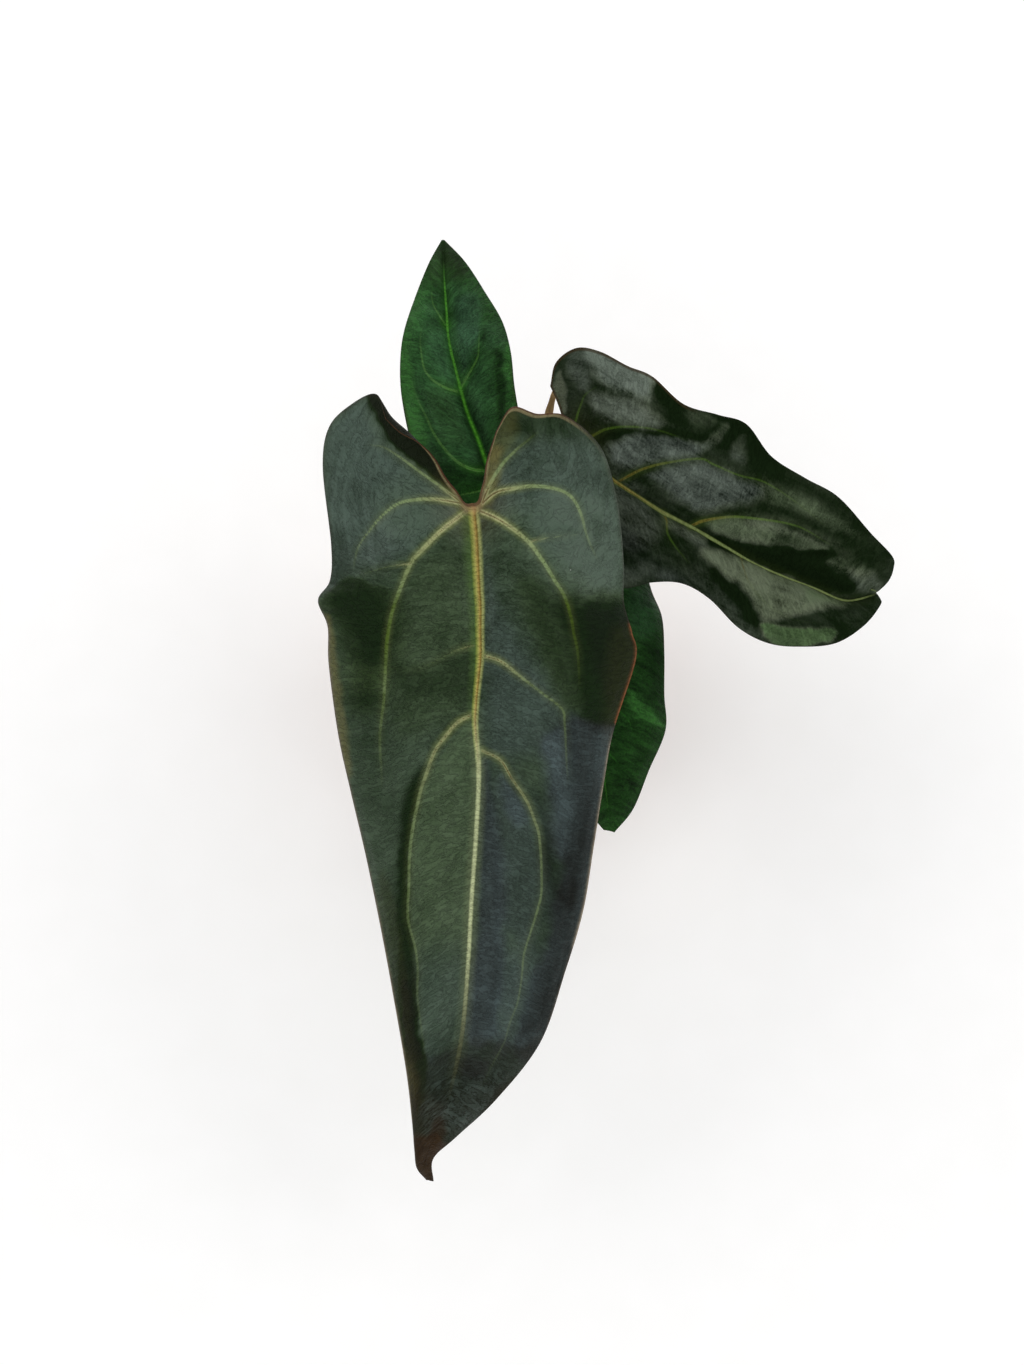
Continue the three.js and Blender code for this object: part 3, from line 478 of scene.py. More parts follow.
DARK["patches"] = [
    [-0.27, 0, 0, 0, [2, (86.5, 60.5), (117, 53), (143, 44), (138.5, 38), (112.5, 45.5),
     (85, 55.5)]],
    [-0.23, 0, 0, 0, [2, (83, 50.5), (90.5, 44), (99, 34), (103.5, 25.5), (98.5, 25.5),
     (92.5, 34.5), (85.5, 42)]],
    [0.27, 0, 0.03, 0, [2.5, (84, 53), (96, 50.5), (107.5, 44.5), (102.5, 39), (96, 41.5),
     (89, 46.5)]],
    [0.15, 0.1, 0, 0, [5, (42, 60), (58, 58), (70.5, 43), (58, 41), (43.5, 41)]],
    [0.27, 0, 0, 0, [1.5, (63, 71.5), (75, 65.5), (81.5, 60), (79, 58), (72, 62), (64, 67.5)]],
    [0.23, 0.2, 0, 0, [2, (140.5, 49), (151, 46.5), (154.5, 39), (147, 38), (142, 42)]],
    [-0.23, 0, 0, 0, [1.5, (37, 105), (54, 107), (79, 103.5), (77.5, 102), (54, 104.5),
     (38.5, 102)]],
    [0.19, 0.2, 0, 0, [3, (75, 115.5), (84, 113), (85.5, 108.5), (79, 107.5), (73, 111)]],
    [0.15, 0.3, 0, 0, [3, (98, 70.5), (117, 68), (133.5, 60), (142, 53), (132, 56.5), (117, 63),
     (100, 66.5)]],
    [0.92, 0.4, 0, 0, [2.5, (32, 141), (46, 135.5), (57, 129.5), (58, 121), (54, 118.5),
     (47.5, 121.5), (39.5, 124.5), (35.5, 129.5)]],
    [0.23, 0.3, 0, 0, [2.5, (22.5, 136.5), (31, 140), (33.5, 130.5), (32, 122), (27, 125.5)]],
    [0.39, 0, 0, 0, [1.2, (56.5, 129.5), (60.5, 126), (58, 121.5), (55.5, 121.5)]],
    [0.68, 0.3, 0.05, 0, [3, (33.5, 120.5), (47.5, 119), (56.5, 113.5), (63, 108.5),
     (54.5, 106.5), (43.5, 110), (37, 113)]],
    [0.12, -0.1, 0, 0, [3, (56, 119.5), (75, 115.5), (90.5, 108.5), (85.5, 102.5), (75, 102),
     (63, 107), (54.5, 114.5)]],
    [0.6, 0.5, 0, 0, [3, (41, 99.5), (54, 104.5), (75, 102), (79, 95.5), (62, 92.5), (49.5, 90),
     (42, 92.5)]],
    [0.45, 0.5, 0, 0, [3, (58, 88), (79, 92.5), (96, 86), (105, 81), (101, 76.5), (89.5, 74),
     (79, 71.5), (70.5, 76.5), (63, 82.5)]],
    [0.31, 0.2, 0, 0, [1.5, (80, 99.5), (88, 108.5), (90.5, 107), (83.5, 98)]],
    [0.23, 0.3, 0, 0, [2, (93, 103.5), (99, 103.5), (97, 92.5), (91.5, 95)]],
    [0.58, 0, 0, 0, [1.5, (81.5, 68), (98, 69), (113.5, 65.5), (126, 60), (132.5, 56), (121, 56),
     (108.5, 58), (96, 60), (87.5, 63)]],
    [0.39, -0.1, 0, 0, [3, (103.5, 82.5), (117.5, 80.5), (130, 73), (144.5, 63), (138.5, 64),
     (121, 72), (109, 75.5)]],
    [0.39, -0.2, 0, 0, [3, (132.5, 52), (145.5, 49), (149.5, 45), (142, 43.5), (134.5, 47)]],
    [0.69, -0.3, 0.06, 0, [2, (79, 56), (91.5, 54.5), (108.5, 47.5), (121, 42.5), (134.5, 35),
     (138.5, 32), (122, 29.5), (108.5, 26.5), (103, 29.5), (98, 39), (89.5, 45), (83, 50)]],
    [0.58, -1, 0, 0, [1, (104, 26), (117, 23.5), (134.5, 22.5), (133.5, 17.5), (121, 15),
     (111, 14.5), (106.5, 20)]],
    [0.15, 0.2, 0, 0, [4, (60, 45), (79, 47), (96, 34.5), (104, 22), (112.5, 13.5), (96, 16),
     (79, 34.5)]],
    [0.23, 0.3, 0.05, 0, [4, (42, 79), (54, 76.5), (62, 64), (58, 58), (45.5, 58), (42, 68)]],
    [0.23, 0.2, 0.05, 0, [2, (66.5, 68.5), (75, 64), (80.5, 58), (79, 56.5), (72, 60), (67, 65)]],
    [0.42, -0.2, 0.1, 0, [1.2, (18.5, 128.5), (20.5, 129.5), (23, 120.5), (22.5, 113.5),
     (19, 113), (16.5, 122)]],
    [-0.27, 0, 0, 0, [3, (56.5, 106), (70.5, 104.5), (75, 99.5), (62, 97), (55.5, 100)]],
    [-0.35, 0, 0, 0, [3, (112.5, 63), (121, 60.5), (134.5, 55), (130, 52.5), (119.5, 53),
     (111, 56.5)]],
    [0.19, -0.3, 0, 0, [3, (124.5, 39), (138, 36.5), (140.5, 33), (132, 33), (123.5, 34.5)]],
    [-0.15, 0, 0, 0, [2, (106.5, 25.5), (121, 22), (121, 14.5), (111, 14.5)]],
    [0.27, 0.2, 0, 0, [4, (33, 95.5), (42, 89), (54, 81), (45.5, 79), (37, 85)]],
    [-0.19, -0.4, 0, 0, [4, (60, 123.5), (79, 117), (104, 106), (114.5, 95.5), (108.5, 90),
     (93.5, 97.5), (79, 103.5), (65.5, 110)]],
    [-0.02, -0.4, 0, 0, [5, (106.5, 95.5), (121, 85), (142, 70.5), (156.5, 58), (150.5, 45),
     (133.5, 51.5), (108.5, 58), (79, 62), (62, 68), (79, 70.5), (104, 76.5)]],
    [0.19, 0, 0, 0, [2, (96, 51.5), (117, 42), (133.5, 34.5), (140.5, 33), (121, 32), (104, 39)]],
    [-0.15, 0.2, 0, 0, [4, (37, 68), (58, 56.5), (75, 41), (70.5, 34.5), (54, 43), (37, 39)]],
    [0.15, 0, 0, 0, [2, (60, 49.5), (54, 44), (45.5, 41), (45.5, 46.5), (56, 50.5)]],
]
# The darkest patches at the foot of this blade paint the shadow cast by the front blade.
BACK["patches"] = [
    [-0.26, 0, 0, 0, [1.2, (-12.5, 146.5), (-11.5, 145.5), (-13, 139), (-17, 125.5), (-19, 125.5),
     (-15, 138)]],
    [-0.28, 0, 0, 0, [2, (-39.5, 151.5), (-31, 154), (-27, 149.5), (-33.5, 147.5), (-36.5, 143),
     (-38, 134), (-40.5, 139.5)]],
    [0.12, 0.2, 0, 0, [2.5, (-35.5, 145), (-27, 147.5), (-24, 142), (-23, 128), (-30, 130.5),
     (-35, 139)]],
    [0.14, 0.4, 0, 0, [2.5, (-23, 149), (-15, 146.5), (-17, 139), (-20.5, 130.5), (-22.5, 139.5)]],
    [-0.18, -0.3, 0, 0, [1, (-7, 138), (-4.5, 139), (-3, 116.5), (-1.5, 102), (-5.5, 106),
     (-6.5, 123)]],
    [0.24, -0.3, 0, 0, [1, (-3, 138), (0, 139.5), (2.5, 106), (-1.5, 106)]],
    [0.14, -0.3, 0, 0, [1.5, (-48.5, 142), (-43, 134.5), (-39.5, 118.5), (-34.5, 102),
     (-42, 99.5), (-46, 110), (-48.5, 127)]],
    [-0.24, 0, 0, 0, [1.5, (-42.5, 134.5), (-40.5, 134.5), (-37.5, 118.5), (-30, 102.5),
     (-26, 95), (-30, 95.5), (-35.5, 103.5), (-39.5, 118)]],
    [-0.2, 0, 0, 0, [2, (-36.5, 167), (-28, 165), (-27.5, 160.5), (-34.5, 160)]],
    [-0.16, 0, 0, 0, [2, (-21, 139.5), (-9, 139.5), (-7.5, 134.5), (-17.5, 130.5)]],
    [0.1, 0.45, 0, 0, [6, (-40.5, 148), (-30, 169), (-18.5, 165), (-10, 139.5), (-7, 110),
     (-13.5, 89), (-30, 91.5), (-40.5, 110)]],
    [-0.44, 0, 0, 0, [3, (-22.5, 122), (-17.5, 118), (-8.5, 100), (-5, 106), (-5, 86), (-12, 86),
     (-17.5, 106)]],
    [-0.16, 0, 0, 0, [1.5, (-7.5, 139), (-4, 136.5), (0.5, 111), (0, 99.5), (-4, 102),
     (-6.5, 118.5)]],
    [0.28, 0, 0, 0, [4, (-48.5, 139.5), (-40.5, 162.5), (-31, 179), (-33.5, 160.5),
     (-38.5, 135.5), (-39.5, 106), (-45.5, 102)]],
    [-0.28, 0, 0.15, 0, [4, (-38.5, 172.5), (-29, 187.5), (-17, 174), (-21, 169), (-30, 167)]],
    [-0.28, 0, 0, 0, [4, (-42, 102), (-30, 95), (-13.5, 88.5), (-9, 74.5), (-26, 74.5)]],
    [0.14, 0, 0.12, 0, [3, (-37, 122), (-27, 123), (-19.5, 102), (-27.5, 100), (-33.5, 110)]],
    [0.08, 0.5, 0, 0, [2, (-22.5, 160.5), (-14.5, 162.5), (-12.5, 152), (-17.5, 142),
     (-22.5, 148)]],
    [0.16, 0.4, 0, 0, [2.5, (-11, 150), (-5, 151.5), (-1.5, 142), (-6, 139), (-11, 142)]],
]
LOW["patches"] = [
    [0.72, 0, 0, 0, [1.8, (48.5, -4), (54.5, -8), (61, -16), (63, -18.5), (56.5, -16.5),
     (50.5, -12.5)]],
    [0.24, 0.5, 0, 0, [4, (47.5, 39), (58, 39), (61.5, 24), (54, 18), (48.5, 26)]],
    [0.24, 0, 0, 0, [2, (37, -58.5), (44.5, -56), (45.5, -64), (38.5, -65.5)]],
    [-0.16, 0, 0, 0, [3, (54, 18), (62, 22), (64, -7.5), (58, -3)]],
]


def soft_noise(points, size, seed):
    """Smooth noise from -1 to 1 at each point of a grid, in lumps of the given size."""
    flat = points.reshape(-1, 3) / size + seed
    return np.array([noise.noise(Vector(p)) for p in flat]).reshape(points.shape[:-1])


def inside(a, b, softness, *outline):
    """1 inside a smooth closed outline and 0 outside it, with a soft border."""
    corners = np.array([*outline[-2:], *outline, *outline[:3]], float)
    ring = through(corners, np.linspace(2, len(outline) + 2, 4 * len(outline) + 1))
    crossed = np.zeros(a.shape, bool)
    for p, q in zip(ring, ring[1:]):
        rise = q[1] - p[1] if q[1] != p[1] else 1e-9
        spans = (p[1] > b) != (q[1] > b)
        crossed ^= spans & (a < p[0] + (b - p[1]) * (q[0] - p[0]) / rise)
    gap = distance_to(a, b, ring)[0]
    return ease(np.where(crossed, gap, -gap), -softness, softness)


def light_and_tone_fields(blade, a, b):
    """Painted light, blue, brown and pale numbers of every point, with uneven borders."""
    spots = np.stack([a, b, np.zeros(a.shape)], axis=-1)
    a, b = a + 1.1 * soft_noise(spots, 4, 7.7), b + 1.1 * soft_noise(spots, 4, 2.3)
    fields = np.zeros((4, *a.shape)) + np.reshape(blade["sheen_base"], (4, 1, 1))
    for patch in blade["patches"]:
        share = inside(a, b, *patch[4])
        for outline in patch[5:]:
            share = share * inside(a, b, *outline)
        fields += np.reshape(patch[:4], (4, 1, 1)) * share
    return fields


print("patches:", [len(blade["patches"]) for blade in (FRONT, DARK, BACK, LOW)])

# %% [markdown]
# ## The skin's relief
# Midrib and side veins lie in soft troughs of the upper side, each with a thin raised line in
# it, and the panels between them puff up a little. Under the blade the same veins stand out as
# cords. A displacement texture could do this, but moving the mesh points lets the relief show in
# the outline and survive any export.

# %% Build a blade
BLADE_T, EDGE_T = 0.9, 0.45
PANEL_SPAN, RIM_SPAN = 5, 6
MIDRIB_PLACES, MIDRIB_SHARES = (0.25, 0.47, 0.6, 0.8, 1), (1, 0.76, 0.42, 0.36, 0.15)


def set_attribute(mesh, name, values):
    mesh.attributes.new(name, "FLOAT", "POINT").data.foreach_set("value", values.astype(np.float32))


def row_normals(points):
    """Unit normals of a grid of points, towards the eye."""
    down = np.gradient(points, axis=0)
    across = np.gradient(points, axis=1)
    normal = np.cross(down, across)
    normal /= np.maximum(np.linalg.norm(normal, axis=-1, keepdims=True), 1e-12)
    facing = np.sign(-(normal @ AWAY).mean())
    return normal * facing, facing


def build_blade(name, blade, rows, columns, puff, midrib):
    """A closed fine skin over a blade's ribs; rows and columns are even counts of cells."""
    s = np.linspace(0, len(blade["ribs"]) - 1, rows + 1)
    t = np.linspace(-1, 1, columns + 1)
    sheet = blade_grid(blade, s, t)
    a, b = sheet[..., 0], sheet[..., 1]
    points = place(sheet)
    mid_line = sheet[:, columns // 2, :2]
    to_mid = distance_to(a, b, mid_line[:: max(1, rows // 120)])[0]
    along = np.repeat(s[:, None] / s[-1], columns + 1, axis=1)
    widths, near, strength, run = vein_field(blade, a, b)
    edges = (points[:, :1], points[:, -1:], points[:1])
    to_rim = np.min([np.linalg.norm(points - edge, axis=-1) for edge in edges], axis=0) / MM
    knot = np.hypot(a - mid_line[0, 0], b - mid_line[0, 1])
    steps = np.linalg.norm(np.diff(mid_line, axis=0), axis=-1)
    reach = np.repeat(np.concatenate([[0], np.cumsum(steps)])[:, None], columns + 1, axis=1)
    mid_half = midrib * np.interp(along, MIDRIB_PLACES, MIDRIB_SHARES)
    mid_widths = to_mid / mid_half

    normal, facing = row_normals(points)
    panel = 1 - np.exp(-np.minimum(near, to_mid) / PANEL_SPAN)
    fade_rim = np.clip(to_rim / RIM_SPAN, 0, 1)
    relief = puff * panel * fade_rim * np.clip(along * 12, 0, 1)
    relief += 0.35 * soft_noise(points, 0.011, 3.1) * fade_rim
    relief += 0.16 * soft_noise(np.stack([a * 0.4, b, 0 * a], axis=-1), 2.6, 5.3) * fade_rim
    cord, trough = np.exp(-(mid_widths / 0.8) ** 2), np.exp(-(mid_widths / 2) ** 2)
    relief += (0.45 * cord - 0.7 * trough) * (1 - 0.5 * along)
    cord, trough = np.exp(-(widths / 0.8) ** 2), np.exp(-(widths / 2.2) ** 2)
    relief += strength * (0.16 * cord - 0.32 * trough)
    upper = points + normal * relief[..., None] * MM

    thickness = EDGE_T + (BLADE_T - EDGE_T) * np.clip(to_rim / 5, 0, 1)
    keel = 1.1 * np.exp(-(mid_widths / 0.9) ** 2) * (1 - 0.6 * along)
    keel = keel + 0.45 * strength * np.exp(-(widths / 1.0) ** 2)
    depth = 0.6 * puff * panel * fade_rim - thickness - keel
    lower = (points + normal * depth[..., None] * MM)[::2, ::2]

    mesh = bpy.data.meshes.new(name)
    count = a.size
    top = np.arange(count).reshape(a.shape)
    under = count + np.arange(lower[..., 0].size).reshape(lower.shape[:2])
    turn = 1 if facing > 0 else -1
    quads = [top[:-1, :-1], top[1:, :-1], top[1:, 1:], top[:-1, 1:]]
    below = [under[:-1, :-1], under[:-1, 1:], under[1:, 1:], under[1:, :-1]]
    quads, below = (np.stack(corners, -1).reshape(-1, 4) for corners in (quads, below))
    rim = []
    for fine, coarse in (
        (top[0, ::-1], under[0, ::-1]), (top[:, 0], under[:, 0]),
        (top[-1], under[-1]), (top[::-1, -1], under[::-1, -1]),
    ):
        for k in range(len(coarse) - 1):
            rim.append([fine[2 * k], coarse[k], coarse[k + 1], fine[2 * k + 2], fine[2 * k + 1]])
    faces = [f[::turn].tolist() for f in quads] + [f[::turn].tolist() for f in below]
    smooth = [True] * len(faces) + [False] * len(rim)
    faces += [f[::turn] for f in rim]
    skin = np.concatenate([upper.reshape(-1, 3), lower.reshape(-1, 3)])
    mesh.from_pydata(skin.tolist(), [], faces)
    mesh.polygons.foreach_set("use_smooth", smooth)

    veil, blue, brown, pale = light_and_tone_fields(blade, a, b)
    side = np.sign(t)[None]
    fields = {
        "along": along, "cross": np.clip(mid_widths * side, -20, 20),
        "vein": np.clip(widths, 0, 20), "near": near, "strength": strength, "run": run,
        "rim": to_rim, "knot": knot, "reach": reach, "out": to_mid * side,
        "veil": veil, "blue": blue, "brown": brown, "pale": pale,
    }
    for key, field in fields.items():
        set_attribute(mesh, key, np.concatenate([field.ravel(), field[::2, ::2].ravel()]))
    set_attribute(mesh, "under", np.concatenate([np.zeros(count), np.ones(lower[..., 0].size)]))
    mesh.update()
    piece = bpy.data.objects.new(name, mesh)
    bpy.context.scene.collection.objects.link(piece)
    print(name, len(mesh.vertices), "points,", len(mesh.polygons), "faces")
    return piece


pieces = {
    "front": build_blade("leaf_front", FRONT, 400, 170, 1.0, 2.4),
    "right": build_blade("leaf_right", DARK, 320, 150, 1.3, 1),
    "back": build_blade("leaf_back", BACK, 240, 110, 0.8, 1.3),
    "low": build_blade("leaf_low", LOW, 180, 90, 0.8, 1.3),
}


# %% [markdown]
# ## Shader maths as Python
# A leaf's finish is a sum of many small effects: a vein's core, the halo beside it, the darker
# panels, the margin. Wiring each sum by hand hides the idea behind the wires. A small class that
# wraps an output socket lets plain Python sums add the Math nodes, so that each finish below
# reads as a formula.

# %% Sockets that do sums


class Link:
    """One output socket. Sums on it add Math nodes to its own finish."""

    def __init__(self, finish, socket):
        self.finish, self.socket = finish, socket

    def math(self, operation, *values):
        inputs = dict(enumerate(values))
        return self.finish.node("ShaderNodeMath", {"operation": operation}, inputs)

    def __add__(self, other):
        return self.math("ADD", self, other)

    __radd__ = __add__

    def __sub__(self, other):
        return self.math("SUBTRACT", self, other)

    def __rsub__(self, other):
        return self.math("SUBTRACT", other, self)

    def __mul__(self, other):
        return self.math("MULTIPLY", self, other)

    __rmul__ = __mul__

    def __truediv__(self, other):
        return self.math("DIVIDE", self, other)

    def size(self):
        """The value without its sign."""
        return self.math("ABSOLUTE", self)

    def ramp(self, stops):
        """The colour at this place among stops of (place, colour)."""
        return self.finish.node("ShaderNodeValToRGB", {"stops": stops}, {"Fac": self})

    def clipped(self):
        return self.finish.node("ShaderNodeClamp", {}, {"Value": self})

    def ease(self, low, high):
        """0 where the value is low, 1 where it is high, and a smooth change between."""
        settings = {"interpolation_type": "SMOOTHSTEP"}
        inputs = {"Value": self, "From Min": low, "From Max": high}
        if low > high:
            inputs.update({"From Min": high, "From Max": low, "To Min": 1, "To Max": 0})
        return self.finish.node("ShaderNodeMapRange", settings, inputs)


class Finish:
    """A material in the making, with a Principled shader at its end."""

    def __init__(self, name):
        self.material = bpy.data.materials.new(name)
        self.material.use_nodes = True
        self.tree = self.material.node_tree
        self.shader = self.tree.nodes["Principled BSDF"]

    def node(self, kind, settings, inputs, out=0):
        made = self.tree.nodes.new(kind)
        for key, value in settings.items():
            if key == "stops":
                self.set_stops(made.color_ramp.elements, value)
            else:
                setattr(made, key, value)
        self.connect(made, inputs)
        return Link(self, made.outputs[out])

    @staticmethod
    def set_stops(elements, stops):
        """Colours along a ramp, from (place, colour) pairs."""
        elements.remove(elements[1])
        elements[0].position, elements[0].color = stops[0]
        for position, colour in stops[1:]:
            elements.new(position).color = colour

    def connect(self, made, inputs):
        for key, value in inputs.items():
            if isinstance(value, Link):
                self.tree.links.new(value.socket, made.inputs[key])
            else:
                made.inputs[key].default_value = value

    def field(self, name):
        """A number kept on the mesh under this name."""
        return self.node("ShaderNodeAttribute", {"attribute_name": name}, {}, out=2)

    def vector(self, x=0, y=0, z=0):
        return self.node("ShaderNodeCombineXYZ", {}, {"X": x, "Y": y, "Z": z})

    def mix(self, share, first, second):
        """The first number where share is 0, the second where it is 1."""
        return self.node("ShaderNodeMix", {"data_type": "FLOAT"}, {0: share, 2: first, 3: second})

    def blend(self, share, first, second):
        """The first colour where share is 0, the second where it is 1."""
        inputs = {0: share, 6: first, 7: second}
        return self.node("ShaderNodeMix", {"data_type": "RGBA"}, inputs, out=2)

    def noise(self, place_link, size, detail=3, rough=0.5, swirl=0):
        """Cloudy noise around 0.5, in lumps of the given size in metres."""
        inputs = {"Vector": place_link, "Scale": 1 / size, "Detail": detail, "Roughness": rough}
        return self.node("ShaderNodeTexNoise", {}, {**inputs, "Distortion": swirl})

    def where(self):
        return self.node("ShaderNodeTexCoord", {}, {}, out=3)

    def stretch(self, place_link, x=1, y=1, z=1):
        settings = {"operation": "MULTIPLY"}
        return self.node("ShaderNodeVectorMath", settings, {0: place_link, 1: (x, y, z)})

    def bump(self, height, depth):
        """Small relief, its height from 0 to 1 and its depth in metres."""
        inputs = {"Height": height, "Distance": depth, "Strength": 1}
        return self.node("ShaderNodeBump", {}, inputs)


def paint(code):
    """A colour code as red, green, blue and 1, in the linear light that shaders use."""
    parts = [int(code[k:k + 2], 16) / 255 for k in (1, 3, 5)]
    return tuple(p / 12.92 if p < 0.04045 else ((p + 0.055) / 1.055) ** 2.4 for p in parts) + (1,)


print("olive in linear light:", [round(v, 4) for v in paint("#24301a")])

# %% [markdown]
# ## The leaf finish
# A leaf of this kind is nearly black-green and satiny. The light its satin catches is painted into
# the colour as a grey-green or bluish painted sheen, with painted shade in the darker panels. Its
# skin is finely wrinkled like soft leather. Veins are yellow-green, with a pale glow beside them
# and a brown core near the stalk, and the margin is a thin reddish line. The finish mixes all this
# from the numbers kept on the mesh. The painted sheen also sets the shader's own coat, whose gleam
# moves with the light.

# %% Numbers and noises of a leaf
SPECK_GAP = 0.024
LEAF_FIELDS = (
    "reach", "out", "cross", "vein", "near", "strength", "run", "rim", "knot", "along", "under",
    "veil", "blue", "brown", "pale",
)


def leaf_numbers(leaf, c):
    """The numbers kept on a leaf's mesh, and the noises of its skin."""
    n = {name: leaf.field(name) for name in LEAF_FIELDS}
    at, out = leaf.where(), n["out"]
    bent = n["reach"] + (out.size() - c["fold"]).size() * 0.22
    across = leaf.noise(leaf.vector(out * 0.08, bent * 0.26), 1, 4, 0.56, 0.8)
    down = leaf.noise(leaf.vector(out * 0.28, n["reach"] * 0.07), 1, 4, 0.58, 0.7)
    n["streaks"] = leaf.mix((n["blue"].ease(0.25, 0.75) + c["lengthwise"]).clipped(), across, down)
    slant = leaf.vector(out * 0.06 + n["reach"] * 0.05, n["reach"] * 0.03 - out * 0.03)
    n["swell"] = leaf.noise(slant, 1, 2, 0.5, 0.4)
    n["calm"] = n["along"].ease(0.5, 0.62) * n["along"].ease(0.84, 0.8) * c["calm"]
    n["smooth"] = n["along"].ease(0.18, 0.6) * c["calm"]
    n["wrinkled"] = n["along"].ease(0.79, 0.84) * c["calm"]
    n["cloud"] = leaf.noise(at, 0.016, 4)
    n["grain"] = leaf.noise(at, 0.001, 3, 0.7)
    n["crumple"] = leaf.noise(leaf.vector(out * 0.2, bent * 0.45), 1, 3, 0.6, 0.3)
    n["crease"] = (n["crumple"] - 0.5).size().ease(0.045, 0)
    dots = {"Vector": at, "Scale": 1 / SPECK_GAP}
    n["speck"] = leaf.node("ShaderNodeTexVoronoi", {}, dots).ease(0.018, 0.01)
    n["mid"] = n["cross"].size()
    n["young"] = n["run"].ease(0.4, 0)
    return n


# %% Skin under and over the painted sheen


def leaf_skin(leaf, n, c):
    """The colour between the veins, with painted sheen and shade, and how strong the sheen is."""
    # These noises ripple the painted sheen and shade, like satin over wrinkled leather.
    mottle = (n["cloud"] - 0.5) * 0.6 + (n["swell"] - 0.5) * c["swell"]
    mottle = mottle + (n["streaks"] - 0.5) * c["streaks"] * (1 - n["smooth"] * 0.72)
    mottle = mottle + (n["grain"] - 0.5) * c["grain"] * (1 - n["calm"] * 0.3)
    mottle = mottle + (n["crumple"] - 0.5) * (0.7 + n["wrinkled"] * 0.7)
    # Painted shade: the creases of the wrinkles are painted darker.
    mottle = mottle - n["crease"] * (0.05 + n["wrinkled"] * 0.6)
    border = n["veil"].clipped() * (1 - n["veil"].clipped()) * c["border"]
    veil = (n["veil"] + mottle * (n["veil"].clipped() + border + 0.08)).clipped()
    # The painted sheen's colour: grey-green, bluer where the blue number paints a reflected sky,
    # greener below zero.
    sheen_base = leaf.blend(n["blue"].clipped(), paint(c["veil"]), paint(c["blue_sheen"]))
    sheen_base = leaf.blend((n["blue"] * -1).clipped(), sheen_base, paint(c["green_sheen"]))
    # The deep skin turns grey-blue where the blue number is high: a painted reflection of a darker
    # sky.
    deep = leaf.blend(n["blue"].ease(0.3, 1), paint(c["deep"]), paint(c["deep_blue"]))
    # Painted shade: below zero the light number darkens the skin towards near black.
    deep = leaf.blend((n["veil"] * -1).ease(0, 0.5) * 0.7, deep, paint("#050803"))
    colour = leaf.blend(veil, deep, sheen_base)
    burnt = (n["brown"].ease(0.55, 1) + n["along"].ease(0.79, 0.84)).clipped()
    tan = leaf.blend(burnt, paint(c["tan"]), paint(c["brown"]))
    colour = leaf.blend((n["brown"] * 1.7).clipped() * 0.85, colour, tan)
    return leaf.blend(n["speck"] * 0.6, colour, paint("#a5aaa0")), veil


# %% Side veins


def leaf_veins(leaf, n, veil, c, colour):
    """Side veins over the skin: a pale glow, the vein's line, and a brown core when young."""
    glow = n["near"].ease(3.2, 0.2) * n["strength"] * (0.2 + 0.8 * n["young"])
    colour = leaf.blend(glow.clipped() * (n["streaks"] + 0.4).clipped(), colour, paint(c["halo"]))
    here = n["near"].ease(2.4, 1.6)
    fresh = ((n["streaks"] * 0.6 + 0.7) * n["strength"] * here).clipped()
    # The vein line turns paler where painted sheen lies over it, and in the calm middle of the
    # blade.
    paling = (veil * 1.25 + n["calm"] * 0.6).clipped()
    line = leaf.blend(paling, paint(c["vein"]), paint(c["vein_pale"]))
    line = leaf.blend(n["young"] * 0.85, line, paint(c["vein_young"]))
    colour = leaf.blend(n["vein"].ease(1.35, 0.45) * fresh, colour, line)
    core = n["vein"].ease(0.5, 0.15) * n["run"].ease(0.26, 0.1) * here
    return leaf.blend(core * 0.8, colour, paint(c["core_dark"]))


# %% The midrib
MIDRIB_STOPS = (0.1, 0.25, 0.37, 0.48, 0.57, 0.68, 0.85)


def leaf_midrib(leaf, n, c, colour):
    """The midrib over the skin: a tan ridge with an orange-brown line, then one pale line."""
    upper = [(place, paint(code)) for place, code in zip(MIDRIB_STOPS, c["midrib"])]
    broad = (n["cross"] / 2.8 + 0.5).ramp(upper)
    lower = leaf.blend(n["mid"].ease(1.1, 0.3), paint(c["midrib_rim"]), paint(c["midrib_low"]))
    rib = leaf.blend(n["along"].ease(*c["turn"]), broad, lower)
    rib = leaf.blend(n["along"].ease(0.72, 0.8) * c["calm"] * 0.8, rib, paint(c["rib_end"]))
    side = n["cross"].ease(-3.2, -1.2) * n["cross"].ease(-0.3, -0.8) * n["along"].ease(0.56, 0.45)
    side = side * c["side"] * (n["streaks"] + 0.4).clipped()
    colour = leaf.blend(side, colour, paint(c["midrib_side"]))
    lower_half = n["along"].ease(0.5, 0.58) * n["along"].ease(*c["fade"])
    beside = n["out"].size().ease(4.5, 0.5) * lower_half
    colour = leaf.blend(beside * c["side"] * 0.5, colour, paint(c["midrib_rim"]))
    shown = n["mid"].ease(1.3, 0.75) * n["along"].ease(*c["fade"])
    return leaf.blend(shown, colour, rib)


# %% Knot, margin and underside


